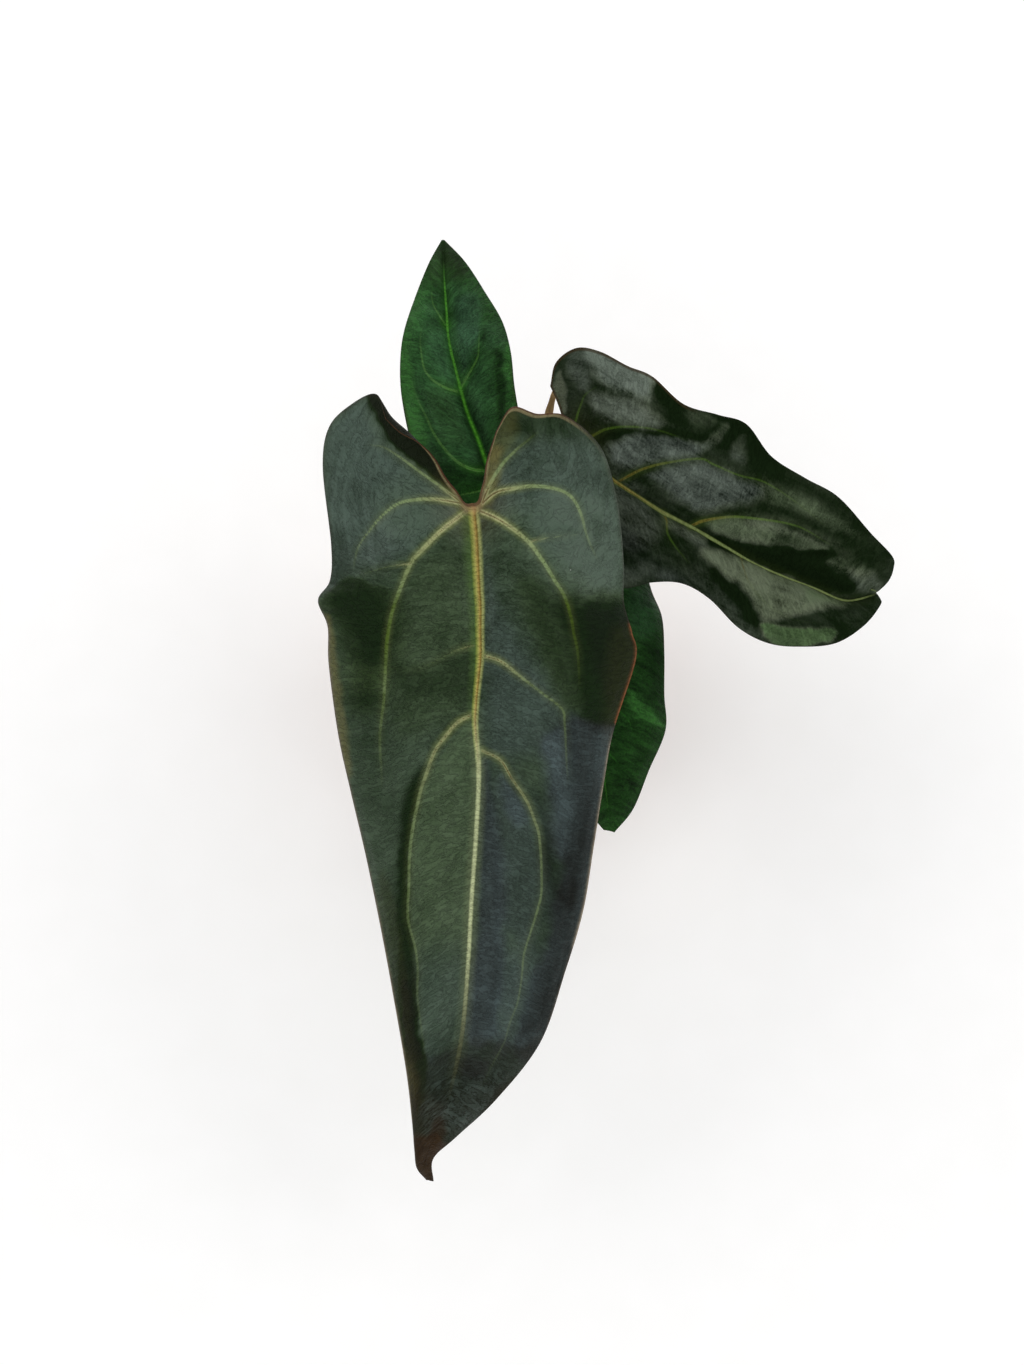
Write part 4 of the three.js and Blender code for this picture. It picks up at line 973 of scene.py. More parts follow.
def leaf_edges(leaf, n, c, colour):
    """The knot where all veins meet, the margin line and the plain underside."""
    colour = leaf.blend(n["knot"].ease(24, 4) * c["knot_share"] * 0.12, colour, paint(c["knot"]))
    knot = n["knot"].ease(6.5, 2) * (n["crumple"] + 0.45).clipped()
    colour = leaf.blend(knot * c["knot_share"], colour, paint(c["knot"]))
    notch = n["knot"].ease(60, 48)
    rust = (n["pale"] * -1).ease(0.05, 0.3)
    edge = leaf.blend(n["pale"].clipped(), paint(c["margin"]), paint(c["margin_pale"]))
    edge = leaf.blend(rust, edge, paint(c["margin_rust"]))
    edge = leaf.blend(notch, edge, paint(c["margin_notch"]))
    marked = (n["pale"].clipped() + rust + notch + 0.35).clipped()
    soft = (n["rim"].ease(2.6, 0.3) * 0.4 + n["rim"].ease(1, 0.5) * 0.6) * marked
    soft = soft + n["rim"].ease(1.8, 1.1) * n["knot"].ease(10, 5)
    colour = leaf.blend(soft.clipped() * (n["cloud"] * 0.8 + 0.5).clipped(), colour, edge)
    # Painted highlight: a tan band just inside the rolled rim near the notch.
    band = n["rim"].ease(2.3, 1.5) * n["rim"].ease(0.5, 0.8) * notch * n["knot"].ease(3, 7)
    colour = leaf.blend(band * 0.7, colour, paint(c["notch_rim_highlight"]))
    back = leaf.blend(n["vein"].ease(1.5, 0.5) * n["strength"] * n["near"].ease(2.4, 1.6),
                      paint(c["back"]), paint(c["back_vein"]))
    back = leaf.blend(n["mid"].ease(1.4, 0.7), back, paint(c["back_vein"]))
    back = leaf.blend((n["cloud"] - 0.3).clipped() * 0.6, back, paint(c["back_dark"]))
    back = leaf.blend(n["rim"].ease(15, 9) * n["knot"].ease(75, 60), back, paint(c["back_rim"]))
    return leaf.blend(n["under"], colour, back)


# %% Leaf finishes


def leaf_finish(name, c):
    """A leaf's finish. c names its colours and a few amounts."""
    leaf = Finish(name)
    n = leaf_numbers(leaf, c)
    colour, veil = leaf_skin(leaf, n, c)
    colour = leaf_veins(leaf, n, veil, c, colour)
    colour = leaf_midrib(leaf, n, c, colour)
    colour = leaf_edges(leaf, n, c, colour)
    relief = n["streaks"] * 0.8 + n["crumple"] * 0.5 + n["grain"] * 0.25 - n["crease"] * 0.2
    leaf.connect(leaf.shader, {
        "Base Color": colour,
        "Roughness": c["rough"] - (veil - 0.4) * 0.1 + (n["grain"] - 0.5) * 0.15,
        "Normal": leaf.bump(relief, c["relief"]),
        "Specular IOR Level": c["shine"],
        "Coat Weight": veil * c["coat"],
        "Coat Roughness": c["coat_rough"],
    })
    return leaf.material


# The sheen colours here are painted sheen, the bluish deep colour a painted reflection, and the
# notch band a painted highlight on the rolled rim.
MATURE = {
    "deep": "#0f2206", "deep_blue": "#171a16", "veil": "#495c40", "blue_sheen": "#475757",
    "green_sheen": "#3e5420", "tan": "#70683a", "brown": "#33200c", "halo": "#78824a",
    "vein": "#485c16", "vein_pale": "#7d9060", "vein_young": "#b6b682", "core_dark": "#5c4a1c",
    "midrib": ("#56702a", "#828c40", "#a6a254", "#a8904c", "#786420", "#9c9f60", "#6a7648"),
    "midrib_low": "#bac393", "midrib_rim": "#7e8862", "midrib_side": "#48642a", "side": 0.7,
    "knot": "#a5825f", "knot_share": 0.65, "margin": "#38302a", "margin_pale": "#8f8470",
    "margin_rust": "#7e4c2c", "margin_notch": "#5e3e2a", "notch_rim_highlight": "#8a7f5c", "back": "#4d5a3a",
    "back_dark": "#3c4a2e", "back_vein": "#8a7a4a", "back_rim": "#15180c", "rough": 0.5,
    "coat": 0.3, "coat_rough": 0.4, "relief": 0.0018, "shine": 0.08, "streaks": 1.6,
    "grain": 1.1, "swell": 0.7, "border": 0.6, "fold": 38, "lengthwise": 0, "calm": 1,
    "fade": (0.86, 0.7), "turn": (0.5, 0.6), "rib_end": "#565024",
}
finish_mature = leaf_finish("leaf_mature", MATURE)
GREEN_RIB = ("#1c4410", "#245414", "#3c7a1e", "#4a8a26", "#3c7a1e", "#265614", "#1c4410")
finish_young = leaf_finish("leaf_young", {
    **MATURE, "deep": "#051803", "deep_blue": "#051a08", "veil": "#316528",
    "blue_sheen": "#3a6141", "green_sheen": "#2c6a1c", "tan": "#33421e", "brown": "#2a2c14",
    "halo": "#2c6018", "vein": "#3a6420", "vein_pale": "#567f44", "vein_young": "#608c46",
    "core_dark": "#34701c", "midrib": GREEN_RIB, "midrib_low": "#48882a",
    "midrib_rim": "#2a5c18", "midrib_side": "#123008", "side": 0.5, "knot": "#2c6018",
    "knot_share": 0.2, "margin": "#1c3410", "margin_pale": "#2c5018", "margin_rust": "#2c3a14",
    "margin_notch": "#1c3410", "notch_rim_highlight": "#2c5018", "coat": 0.12, "shine": 0.03,
    "relief": 0.0022, "fold": 60,
    "streaks": 1.1, "swell": 1.3, "calm": 0, "fade": (0.95, 0.84),
})
finish_dark = leaf_finish("leaf_dark", {
    **MATURE, "deep": "#14200f", "deep_blue": "#161c1a", "veil": "#67715a",
    "blue_sheen": "#69746e", "green_sheen": "#4c6a3c", "tan": "#4a4638", "brown": "#332c20",
    "halo": "#3a4a20", "vein": "#44601f", "vein_pale": "#66784a", "vein_young": "#7a7034",
    "core_dark": "#5c4a1c",
    "midrib": ("#26301a", "#3c4420", "#76743c", "#8a7a3c", "#5c5222", "#5c6430", "#2c361c"),
    "midrib_low": "#7c8a54", "midrib_rim": "#3c4a20", "midrib_side": "#26301a", "side": 0.3,
    "knot": "#7a6a44", "knot_share": 0.5, "margin": "#22261a", "margin_pale": "#6a6a50",
    "margin_rust": "#5a4a30", "margin_notch": "#3a3020", "notch_rim_highlight": "#3a3020",
    "rough": 0.42, "coat": 0.2, "coat_rough": 0.3, "shine": 0.0, "grain": 1.0,
    "streaks": 1.6, "swell": 1.3, "border": 1.0, "relief": 0.0016, "fold": 60,
    "lengthwise": 0.75, "calm": 0, "fade": (0.92, 0.8),
    "turn": (0.28, 0.48),
})
finish_shaded = leaf_finish("leaf_shaded", {
    **MATURE, "deep": "#051803", "deep_blue": "#051808", "veil": "#2f6324",
    "blue_sheen": "#31543a", "green_sheen": "#2c641c", "tan": "#33421e", "brown": "#2a2c14",
    "halo": "#1e4412", "vein": "#265a18", "vein_pale": "#306a24", "vein_young": "#2e601c",
    "core_dark": "#2e601c", "midrib": GREEN_RIB, "midrib_low": "#2e601c",
    "midrib_rim": "#1e4412", "midrib_side": "#123008", "side": 0.4, "knot": "#2c6018",
    "knot_share": 0.2, "margin": "#1c3010", "margin_pale": "#1c3010", "margin_rust": "#1c3010",
    "margin_notch": "#1c3010", "notch_rim_highlight": "#1c3010", "rough": 0.42, "coat": 0.12,
    "shine": 0.03, "fold": 60,
    "calm": 0, "fade": (0.95, 0.84),
})
for key, finish, slot in (
    ("front", finish_mature, "leaf_mature"), ("right", finish_dark, "leaf_dark"),
    ("back", finish_young, "leaf_young"), ("low", finish_shaded, "leaf_shaded"),
):
    piece = pieces[key]
    piece.data.materials.append(finish)
    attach(piece, "root")
    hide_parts("blade_" + key)
print("leaf finishes:", [p.data.materials[0].name for p in pieces.values()])

# %% [markdown]
# ## Stalks
# Each leaf hangs on a round, tough stalk that swells into a knee where it meets the blade; the
# knee turns the leaf to the light. A bevelled curve would give a plain tube. A ring of points
# swept along the path, with its radius worked out for every point, also gives the knee its
# creases, the groove along the upper side and the wide foot that clasps the stem.

# %% Paths and rods


def walk(knots, count):
    """Evenly spaced points on a smooth curve through knots, with its length."""
    knots = np.asarray(knots, float)
    padded = np.vstack([2 * knots[0] - knots[1], knots, 2 * knots[-1] - knots[-2]])
    u = np.linspace(0, 1, 80)[:, None]
    fine = []
    for p, q, r, n in zip(padded, padded[1:], padded[2:], padded[3:]):
        before, here, after = (np.linalg.norm(v) ** 0.5 for v in (q - p, r - q, n - r))
        start = ((q - p) / before - (r - p) / (before + here) + (r - q) / here) * here
        end = ((r - q) / here - (n - q) / (here + after) + (n - r) / after) * here
        bend, turn = 3 * (r - q) - 2 * start - end, 2 * (q - r) + start + end
        fine.append(q + start * u + bend * u**2 + turn * u**3)
    fine = np.concatenate(fine)
    run = np.concatenate([[0], np.cumsum(np.linalg.norm(np.diff(fine, axis=0), axis=1))])
    even = np.linspace(0, run[-1], count)
    return np.stack([np.interp(even, run, fine[:, k]) for k in range(3)], axis=1), run[-1]


def rod_grid(centre, radius, up=(0, 0, 1)):
    """Rings of points round a path; radius is a grid of path points by ring points."""
    tangent = np.gradient(centre, axis=0)
    tangent /= np.linalg.norm(tangent, axis=1, keepdims=True)
    side = np.cross(tangent[0], up if abs(np.dot(tangent[0], up)) < 0.9 else (0, 1, 0))
    sides = []
    for t in tangent:
        side = side - t * np.dot(side, t)
        side /= np.linalg.norm(side)
        sides.append(side)
    sides = np.array(sides)
    over = np.cross(tangent, sides)
    turn = np.linspace(0, 2 * np.pi, radius.shape[1], endpoint=False)
    ring = sides[:, None] * np.cos(turn)[:, None] + over[:, None] * np.sin(turn)[:, None]
    return centre[:, None] + ring * radius[..., None]


def rod_faces(rows, sides, first=0):
    """Quads of a rod and a face over each end."""
    at = first + np.arange(rows * sides).reshape(rows, sides)
    ring = np.roll(at, -1, axis=1)
    quads = np.stack([at[:-1], ring[:-1], ring[1:], at[1:]], -1).reshape(-1, 4)
    return [*quads.tolist(), at[0, ::-1].tolist(), at[-1].tolist()]


def add_piece(name, points_mm, faces, fields=()):
    """A mesh object from points in millimetres; fields are numbers kept on its points."""
    mesh = bpy.data.meshes.new(name)
    mesh.from_pydata((np.asarray(points_mm) * MM).tolist(), [], faces)
    mesh.polygons.foreach_set("use_smooth", [True] * len(faces))
    for key, values in dict(fields).items():
        set_attribute(mesh, key, np.asarray(values))
    mesh.update()
    piece = bpy.data.objects.new(name, mesh)
    bpy.context.scene.collection.objects.link(piece)
    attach(piece, "root")
    print(name, len(mesh.vertices), "points,", len(faces), "faces")
    return piece


print("a metre of path:", walk([(0, 0, 0), (500, 0, 0), (1000, 0, 0)], 5)[1])

# %% Stalks
STALK_R, KNEE_R, KNEE_LENGTH, FOOT_LENGTH, SUNK_IN = 2.1, 2.9, 13, 18, 0.5
STALKS = {
    "front": (FRONT, [(-1, -4, 104), (-3, -13, 126), (-8, -31, 178), (-15, -48, 225)], 1.2),
    "back": (BACK, [(-1, 3, 112), (-3, 7, 132), (-7, 5, 160)], 1.2),
    "right": (DARK, [(4, 1, 107), (13, 3, 135), (20, 6, 175)], 1.2),
    "low": (LOW, [(3, -4, 103), (14, -9, 120), (28, -10, 142)], 1.8),
}


def stalk(name, sides=40):
    blade, knots, seat = STALKS[name]
    a, b, w = blade["ribs"][1][0]
    top = place([a, b, w + seat + SUNK_IN]) / MM
    length = walk([*knots, top], 2)[1]
    rows = int(length / 0.45)
    centre, _ = walk([*knots, top], rows)
    run = np.linspace(0, length, rows)[:, None]
    turn = np.linspace(0, 2 * np.pi, sides, endpoint=False)[None]
    knee = ease(KNEE_LENGTH * 1.3 - (length - run), 0, KNEE_LENGTH * 0.5)
    foot = ease(FOOT_LENGTH - run, 0, FOOT_LENGTH)
    tip = ease(length - run, -3, 3)
    radius = (STALK_R + (KNEE_R - STALK_R) * knee + 1.3 * foot) * tip
    creases = 0.09 * knee * np.sin(run * 4.6 + np.sin(turn * 3)) ** 3
    ribs = 0.035 * np.sin(turn * 11 + np.sin(run * 0.05) * 2)
    groove = -0.32 * np.exp(-((turn - np.pi / 2) / 0.35) ** 2) * (1 - knee)
    lumps = 0.06 * np.sin(run * 0.13 + turn) * np.sin(run * 0.31)
    grid = rod_grid(centre, radius + creases + ribs + groove + lumps)
    knee_field = np.repeat(knee, sides, axis=1)
    foot_field = np.repeat(foot, sides, axis=1)
    return add_piece(
        "stalk_" + name, grid.reshape(-1, 3), rod_faces(rows, sides),
        fields={"knee": knee_field.ravel(), "foot": foot_field.ravel()},
    )


# %% [markdown]
# The stalks are olive to tan-brown, browner and corky at the knee and where they clasp the stem,
# with short pale flecks. The flecks are stretched noise rather than a picture, so they keep
# their size on every stalk.

# %% Stalk finish
husked = Finish("stalk_skin")
at = husked.where()
streak = husked.noise(husked.stretch(at, 6, 6, 1), 0.006, 4)
fleck = husked.noise(husked.stretch(at, 2, 2, 0.7), 0.0012, 2)
patch = husked.noise(at, 0.018, 2)
green = husked.blend(streak, paint("#4d5a26"), paint("#8a8148"))
brown = husked.blend(streak, paint("#5b3d22"), paint("#94713f"))
corky = (husked.field("knee") * 0.75 + husked.field("foot") * 0.8 + (patch - 0.5) * 1.2).clipped()
skin = husked.blend(corky, green, brown)
skin = husked.blend(fleck.ease(0.6, 0.72) * 0.7, skin, paint("#b7a876"))
husked.connect(husked.shader, {
    "Base Color": skin,
    "Roughness": 0.45 + 0.25 * corky,
    "Normal": husked.bump(streak + fleck * 0.5, 0.0004),
    "Coat Weight": 0.1,
})
for key in STALKS:
    piece = stalk(key)
    piece.data.materials.append(husked.material)
    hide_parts("petiole_" + key)

# %% [markdown]
# ## Stem and aerial roots
# The stem is short and thick, ringed by the scars of fallen leaves, and clasped by scraps of
# fibre. Fat, corky aerial roots grow from the rings and dive into the mix. The rings and scars
# are part of the swept radius, because their edges catch the light and a flat texture would not.

# %% Stem
RIM_D, POT_H, BASE_D, BAND_H, BAND_T, WALL, FLOOR_T, SOIL_DROP = 120, 105, 86, 22, 3.5, 5, 6, 11
SOIL_Z = POT_H - SOIL_DROP
STEM_R, STEM_SUNK, STEM_TOP, NODE_STEP, ROOT_R = 8.5, 32, 122, 9, 2.1
ROOTS = [(99, 20, 31), (98, 80, 24), (99, 140, 34), (97, 205, 27), (99, 265, 33), (98, 325, 26)]


def stem_grid(rows=150, sides=96):
    foot = SOIL_Z - STEM_SUNK
    centre, _ = walk([(0, 0, foot), (0, 0, SOIL_Z), (1, -0.5, STEM_TOP)], rows)
    u = np.linspace(0, 1, rows)[:, None]
    turn = np.linspace(0, 2 * np.pi, sides, endpoint=False)[None]
    phase = u * (STEM_TOP - foot) / NODE_STEP + 0.05 * np.sin(turn * 2)
    ring = np.cos(2 * np.pi * phase)
    dome = np.sqrt(1 - np.clip((u - 0.9) / 0.1, 0, 1) ** 2 * 0.9)
    scar = -0.5 * np.exp(-(((phase + 0.5) % 1 - 0.5) / 0.06) ** 2)
    cracks = 0.25 * np.sin(turn * 17 + 3 * np.sin(phase * 5)) * np.sin(phase * 9)
    lumps = 0.35 * np.sin(turn * 3 + phase * 4) * np.sin(phase * 2.1)
    radius = (STEM_R - 0.2 + 0.5 * ring + scar + cracks * 0.5 + lumps) * dome
    return rod_grid(centre, radius), scar + 0 * turn


def root_grid(z, turn, reach, rows=90, sides=24):
    def at(r, height, swing):
        angle = math.radians(turn + swing)
        return (r * math.cos(angle), r * math.sin(angle), height)

    knots = [
        at(2, z, 0), at(STEM_R + 3, z + 2, 0), at(reach * 0.7, SOIL_Z + 5, 8),
        at(reach, SOIL_Z - 2, 14), at(reach + 2, SOIL_Z - 14, 16),
    ]
    centre, _ = walk(knots, rows)
    u = np.linspace(0, 1, rows)[:, None]
    around = np.linspace(0, 2 * np.pi, sides, endpoint=False)[None]
    knobs = 0.13 * np.sin(u * 41 + turn) * np.sin(around * 2 + u * 9)
    return rod_grid(centre, ROOT_R * (1 - 0.3 * u) + knobs + 0.05 * np.sin(around * 9))


stem_rings, stem_scars = stem_grid()
points, faces = [stem_rings.reshape(-1, 3)], rod_faces(*stem_rings.shape[:2])
is_root, scar_marks = [np.zeros(stem_scars.size)], [stem_scars.ravel()]
for z, turn, reach in ROOTS:
    root = root_grid(z, turn, reach)
    faces += rod_faces(*root.shape[:2], first=sum(map(len, points)))
    points.append(root.reshape(-1, 3))
    is_root.append(np.ones(len(points[-1])))
    scar_marks.append(np.zeros(len(points[-1])))
stem = add_piece(
    "stem_and_roots", np.concatenate(points), faces,
    fields={"root": np.concatenate(is_root), "scar": -np.concatenate(scar_marks)},
)

# %% Stem and root finish
bark = Finish("stem_skin")
at = bark.where()
ridge = bark.noise(bark.stretch(at, 1, 1, 3), 0.004, 5, 0.65)
patch = bark.noise(at, 0.012, 3)
grit = bark.noise(at, 0.0008, 2)
stem_tone = bark.blend(patch.ease(0.35, 0.65), paint("#4a4c24"), paint("#80764c"))
stem_tone = bark.blend((ridge - 0.3).clipped(), stem_tone, paint("#5c432a"))
stem_tone = bark.blend(bark.field("scar").ease(0.1, 0.45), stem_tone, paint("#3c2a1a"))
root_tone = bark.blend(ridge, paint("#6e5a3c"), paint("#b3a681"))
root_tone = bark.blend(patch.ease(0.5, 0.75), root_tone, paint("#5d6a3a"))
bark.connect(bark.shader, {
    "Base Color": bark.blend(bark.field("root"), stem_tone, root_tone),
    "Roughness": 0.62 + grit * 0.25,
    "Normal": bark.bump(ridge + grit * 0.4, 0.0006),
})
stem.data.materials.append(bark.material)
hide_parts("stem")

# %% [markdown]
# ## Papery sheaths
# Every new leaf comes out of a sheath that dries to tan paper and stays on the stem. It is
# cupped round the leaf stalk, ribbed along its length, and frays at the edges. A cloth
# simulation would soften it like fabric, but dry paper keeps its folds, so its ribs, curl and
# ragged edges are worked out directly on a grid.

# %% Sheaths
HUSK_T = 0.8
HUSKS = {
    "long": ([(5.5, 9.5, 107), (9, 25, 143), (15.5, 48, 174), (21, 64, 189)], 12),
    "side": ([(-10, -4.5, 107), (-14, -7, 121), (-23, -11, 139)], 11),
    "rear": ([(-7.3, 7.1, 107), (-12, 12.5, 119), (-21, 21, 133)], 10),
}


def closed_sheet(front, back):
    """Points and faces of a thin closed skin between two grids of the same size."""
    rows, columns = front.shape[:2]
    top = np.arange(rows * columns).reshape(rows, columns)
    under = top + top.size
    faces = []
    for grid, turn in ((top, -1), (under, 1)):
        quads = np.stack([grid[:-1, :-1], grid[1:, :-1], grid[1:, 1:], grid[:-1, 1:]], -1)
        faces += quads.reshape(-1, 4)[:, ::turn].tolist()
    rim = np.concatenate([top[0, ::-1], top[1:, 0], top[-1, 1:], top[-2:0:-1, -1]])
    for p, q in zip(rim, np.roll(rim, -1)):
        faces.append([p, q, q + top.size, p + top.size])
    return np.concatenate([front.reshape(-1, 3), back.reshape(-1, 3)]), faces


def sheath(name, rows=110, columns=48):
    knots, width = HUSKS[name]
    centre, _ = walk(knots, rows + 1)
    tangent = np.gradient(centre, axis=0)
    tangent /= np.linalg.norm(tangent, axis=1, keepdims=True)
    across = np.stack([-tangent[:, 1], tangent[:, 0], 0 * tangent[:, 0]], axis=1)
    across /= np.linalg.norm(across, axis=1, keepdims=True)
    outwards = -np.cross(tangent, across)
    u = np.linspace(0, 1, rows + 1)[:, None]
    v = np.linspace(-1, 1, columns + 1)[None]
    fray = 1 - 0.1 * np.abs(np.sin(u * 47 + width)) * ease(u, 0.1, 0.5)
    half = width / 2 * (1 - 0.96 * u**1.6) * fray
    ribs = 0.22 * np.sin(v * 19 + np.sin(u * 6)) + 0.12 * np.sin(v * 43)
    curl = 0.5 * np.sin(u * 14 + width) * v**3 * ease(u, 0.15, 0.6)
    rise = -half * 0.55 * v**2 - 0.18 + ribs * (0.35 + 0.65 * (1 - u)) + curl
    sideways = across[:, None] * (half * v)[..., None]
    front = centre[:, None] + sideways + outwards[:, None] * rise[..., None]
    back = front - outwards[:, None] * HUSK_T * 0.55
    points, faces = closed_sheet(front, back)
    length_share = np.repeat(u, columns + 1, axis=1).ravel()
    width_share = np.repeat(v, rows + 1, axis=0).ravel()
    return add_piece("sheath_" + name, points, faces, fields={
        "length": np.tile(length_share, 2), "width": np.tile(width_share, 2),
    })


paper = Finish("sheath_paper")
u, v = paper.field("length"), paper.field("width")
lined = paper.node("ShaderNodeCombineXYZ", {}, {"X": v * 40, "Y": u * 4})
fibre = paper.noise(lined, 1, 4, 0.7)
blotch = paper.noise(paper.where(), 0.008, 4)
tan = paper.blend(fibre, paint("#8a6437"), paint("#d0b27c"))
tan = paper.blend(blotch.ease(0.5, 0.8), tan, paint("#6b4424"))
# Painted highlight: the last quarter towards the tip is painted paler for the strong light on it.
tan = paper.blend((u - 0.75 + (blotch - 0.5)).ease(0, 0.3) * 0.9, tan, paint("#e0bc88"))
paper.connect(paper.shader, {
    "Base Color": tan,
    "Roughness": 0.6 + 0.25 * blotch,
    "Normal": paper.bump(fibre, 0.0005),
})
for key in HUSKS:
    piece = sheath(key)
    piece.data.materials.append(paper.material)
    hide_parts("husk_" + key)

# %% [markdown]
# ## Potting mix
# Epiphytes like this one grow in a coarse, airy mix of bark chips with a little white perlite
# and charcoal. A particle system could strew the chips, but their places would not be part of
# the mesh. Here each chip is the hull of a few random points with its edges cut back, laid in
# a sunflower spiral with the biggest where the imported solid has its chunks.

# %% Bed of the mix
CHUNKS, CHUNK_R, GAP = 30, 7.5, 0.3
SMALL_CHIPS, SUNFLOWER_TURN = 330, 2.399963


def outer_r(z):
    return BASE_D / 2 + ((RIM_D - BASE_D) / 2 - BAND_T) * z / POT_H


def inner_r(z):
    return outer_r(z) - WALL


def lathe(profile, sides):
    """Rings of points round the upright axis, from (radius, height) pairs."""
    radius, height = np.asarray(profile, float).T[..., None]
    turn = np.linspace(0, 2 * np.pi, sides, endpoint=False)[None]
    return np.stack([radius * np.cos(turn), radius * np.sin(turn), height + 0 * turn], axis=-1)


top_r = inner_r(SOIL_Z) - GAP
profile = [(0.5, FLOOR_T + GAP), (inner_r(FLOOR_T) - 3 - GAP, FLOOR_T + GAP)]
profile += [(inner_r(z) - GAP, z) for z in (FLOOR_T + 3, 30, 50, 70, SOIL_Z - 1.5)]
profile += [(r, SOIL_Z) for r in np.linspace(top_r - 0.8, 0.5, 44)]
bed = lathe(profile, 150)
rough = np.array([
    noise.noise(Vector(p) * 0.28) + 0.6 * noise.noise(Vector(p) * 0.9)
    for p in bed[7:].reshape(-1, 3)
]).reshape(bed[7:].shape[:2])
bed[7:, :, 2] += rough * 1.1 - 0.6
bed_faces = rod_faces(*bed.shape[:2])
print("bed radius at the top:", round(top_r, 1), "mm")

# %% Chips on the bed


def bark_chip(chips, centre, size, turn, tilt, random, bevel=0.12):
    """One angular chip added to a bmesh; returns its new points."""
    count = 11
    spots = random.uniform(-1, 1, (count, 3))
    spots /= np.maximum(np.abs(spots).max(axis=1, keepdims=True), 0.75)
    corners = [chips.verts.new(Vector(p * size)) for p in spots]
    hull = bmesh.ops.convex_hull(chips, input=corners)
    bmesh.ops.delete(chips, geom=hull["geom_interior"], context="VERTS")
    kept = [v for v in corners if v.is_valid]
    turned = Matrix.Rotation(turn, 4, "Z") @ Matrix.Rotation(tilt, 4, "X")
    move = Matrix.Translation(centre) @ turned
    edges = list(dict.fromkeys(e for v in kept for e in v.link_edges))
    cut = bmesh.ops.bevel(chips, geom=edges, offset=bevel * min(size), segments=1, affect="EDGES")
    whole = [v for f in cut["faces"] for v in f.verts] + [v for v in kept if v.is_valid]
    whole = list(dict.fromkeys(whole))
    bmesh.ops.transform(chips, matrix=move, verts=whole)
    return whole


def strewn():
    """All chips: place, half sizes in millimetres, turn, tilt and tone for each."""
    state = 7

    def roll():
        nonlocal state
        state = state * 16807 % 2147483647
        return state / 2147483647

    chips = []
    reach = inner_r(SOIL_Z) - CHUNK_R - 2
    for n in range(CHUNKS):
        size = CHUNK_R * np.array([0.7 + 0.5 * roll(), 0.55 + 0.4 * roll(), 0.45 + 0.3 * roll()])
        tilt, turn = 0.5 * roll(), 2 * math.pi * roll()
        r, swing = reach * math.sqrt((n + 0.5) / CHUNKS), n * math.pi * (3 - math.sqrt(5))
        spot = (r * math.cos(swing), r * math.sin(swing), SOIL_Z + 1.2 * roll())
        chips.append((spot, size * 0.86, turn, tilt, 0.2 + 0.5 * roll()))
    random = np.random.default_rng(11)
    for n in range(SMALL_CHIPS):
        r = (top_r - 4) * math.sqrt((n + 0.5) / SMALL_CHIPS)
        swing = n * SUNFLOWER_TURN + 0.7
        size = random.uniform(1.5, 4.2) * np.array([1.25, 0.8, 0.45])
        height = SOIL_Z + random.uniform(-0.5, 2.2)
        spot = (r * math.cos(swing), r * math.sin(swing), height)
        tone = random.uniform(0, 1) if n % 9 else random.choice([1.5, 2.5])
        chips.append((spot, size, random.uniform(0, 6.3), random.uniform(-0.7, 0.7), tone))
    return chips


def make_mix():
    random = np.random.default_rng(5)
    mix = bmesh.new()
    tone = mix.verts.layers.float.new("tone")
    points = [mix.verts.new(p) for p in bed.reshape(-1, 3).tolist()]
    for face in bed_faces:
        mix.faces.new([points[k] for k in face])
    for spot, size, turn, tilt, shade in strewn():
        if math.hypot(spot[0], spot[1]) < STEM_R + 0.6 * max(size):
            continue
        for point in bark_chip(mix, spot, size, turn, tilt, random):
            point[tone] = shade
    for point in points:
        point[tone] = 0.1
    mesh = bpy.data.meshes.new("bark_mix")
    bmesh.ops.scale(mix, vec=(MM, MM, MM), verts=mix.verts)
    mix.to_mesh(mesh)
    mix.free()
    piece = bpy.data.objects.new("bark_mix", mesh)
    bpy.context.scene.collection.objects.link(piece)
    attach(piece, "root")
    return piece


mix = make_mix()
print("mix:", len(mix.data.polygons), "faces")

# %% Mix finish
chippy = Finish("bark_chips")
at = chippy.where()
grain = chippy.noise(chippy.stretch(at, 1, 5, 5), 0.004, 5, 0.65)
spots = chippy.noise(at, 0.002, 3)
tone = chippy.field("tone")
wood = chippy.blend(tone, paint("#3a2315"), paint("#8a5a36"))
wood = chippy.blend(grain.ease(0.35, 0.7), wood, paint("#2a1a10"))
wood = chippy.blend(spots.ease(0.62, 0.75) * 0.5, wood, paint("#a58a62"))
mixed = chippy.blend(tone.ease(1.2, 1.3), wood, paint("#1c1b1a"))
mixed = chippy.blend(tone.ease(2.2, 2.3), mixed, paint("#d8d4c8"))
chippy.connect(chippy.shader, {
    "Base Color": mixed,
    "Roughness": 0.8 + 0.15 * spots,
    "Normal": chippy.bump(grain + spots * 0.5, 0.0007),
})
mix.data.materials.append(chippy.material)
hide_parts("potting_mix")

# %% [markdown]
# ## The pot
# The pot is plain thrown clay with a straight band at the rim and holes in its foot. It could
# be turned from one profile with a screw modifier; working the rings out directly also allows
# a slight wobble and the fine throwing lines, and a boolean cuts the drain holes.

# %% Turn the pot
DRAINS, DRAIN_D, DRAIN_RING_R = 4, 9, 24


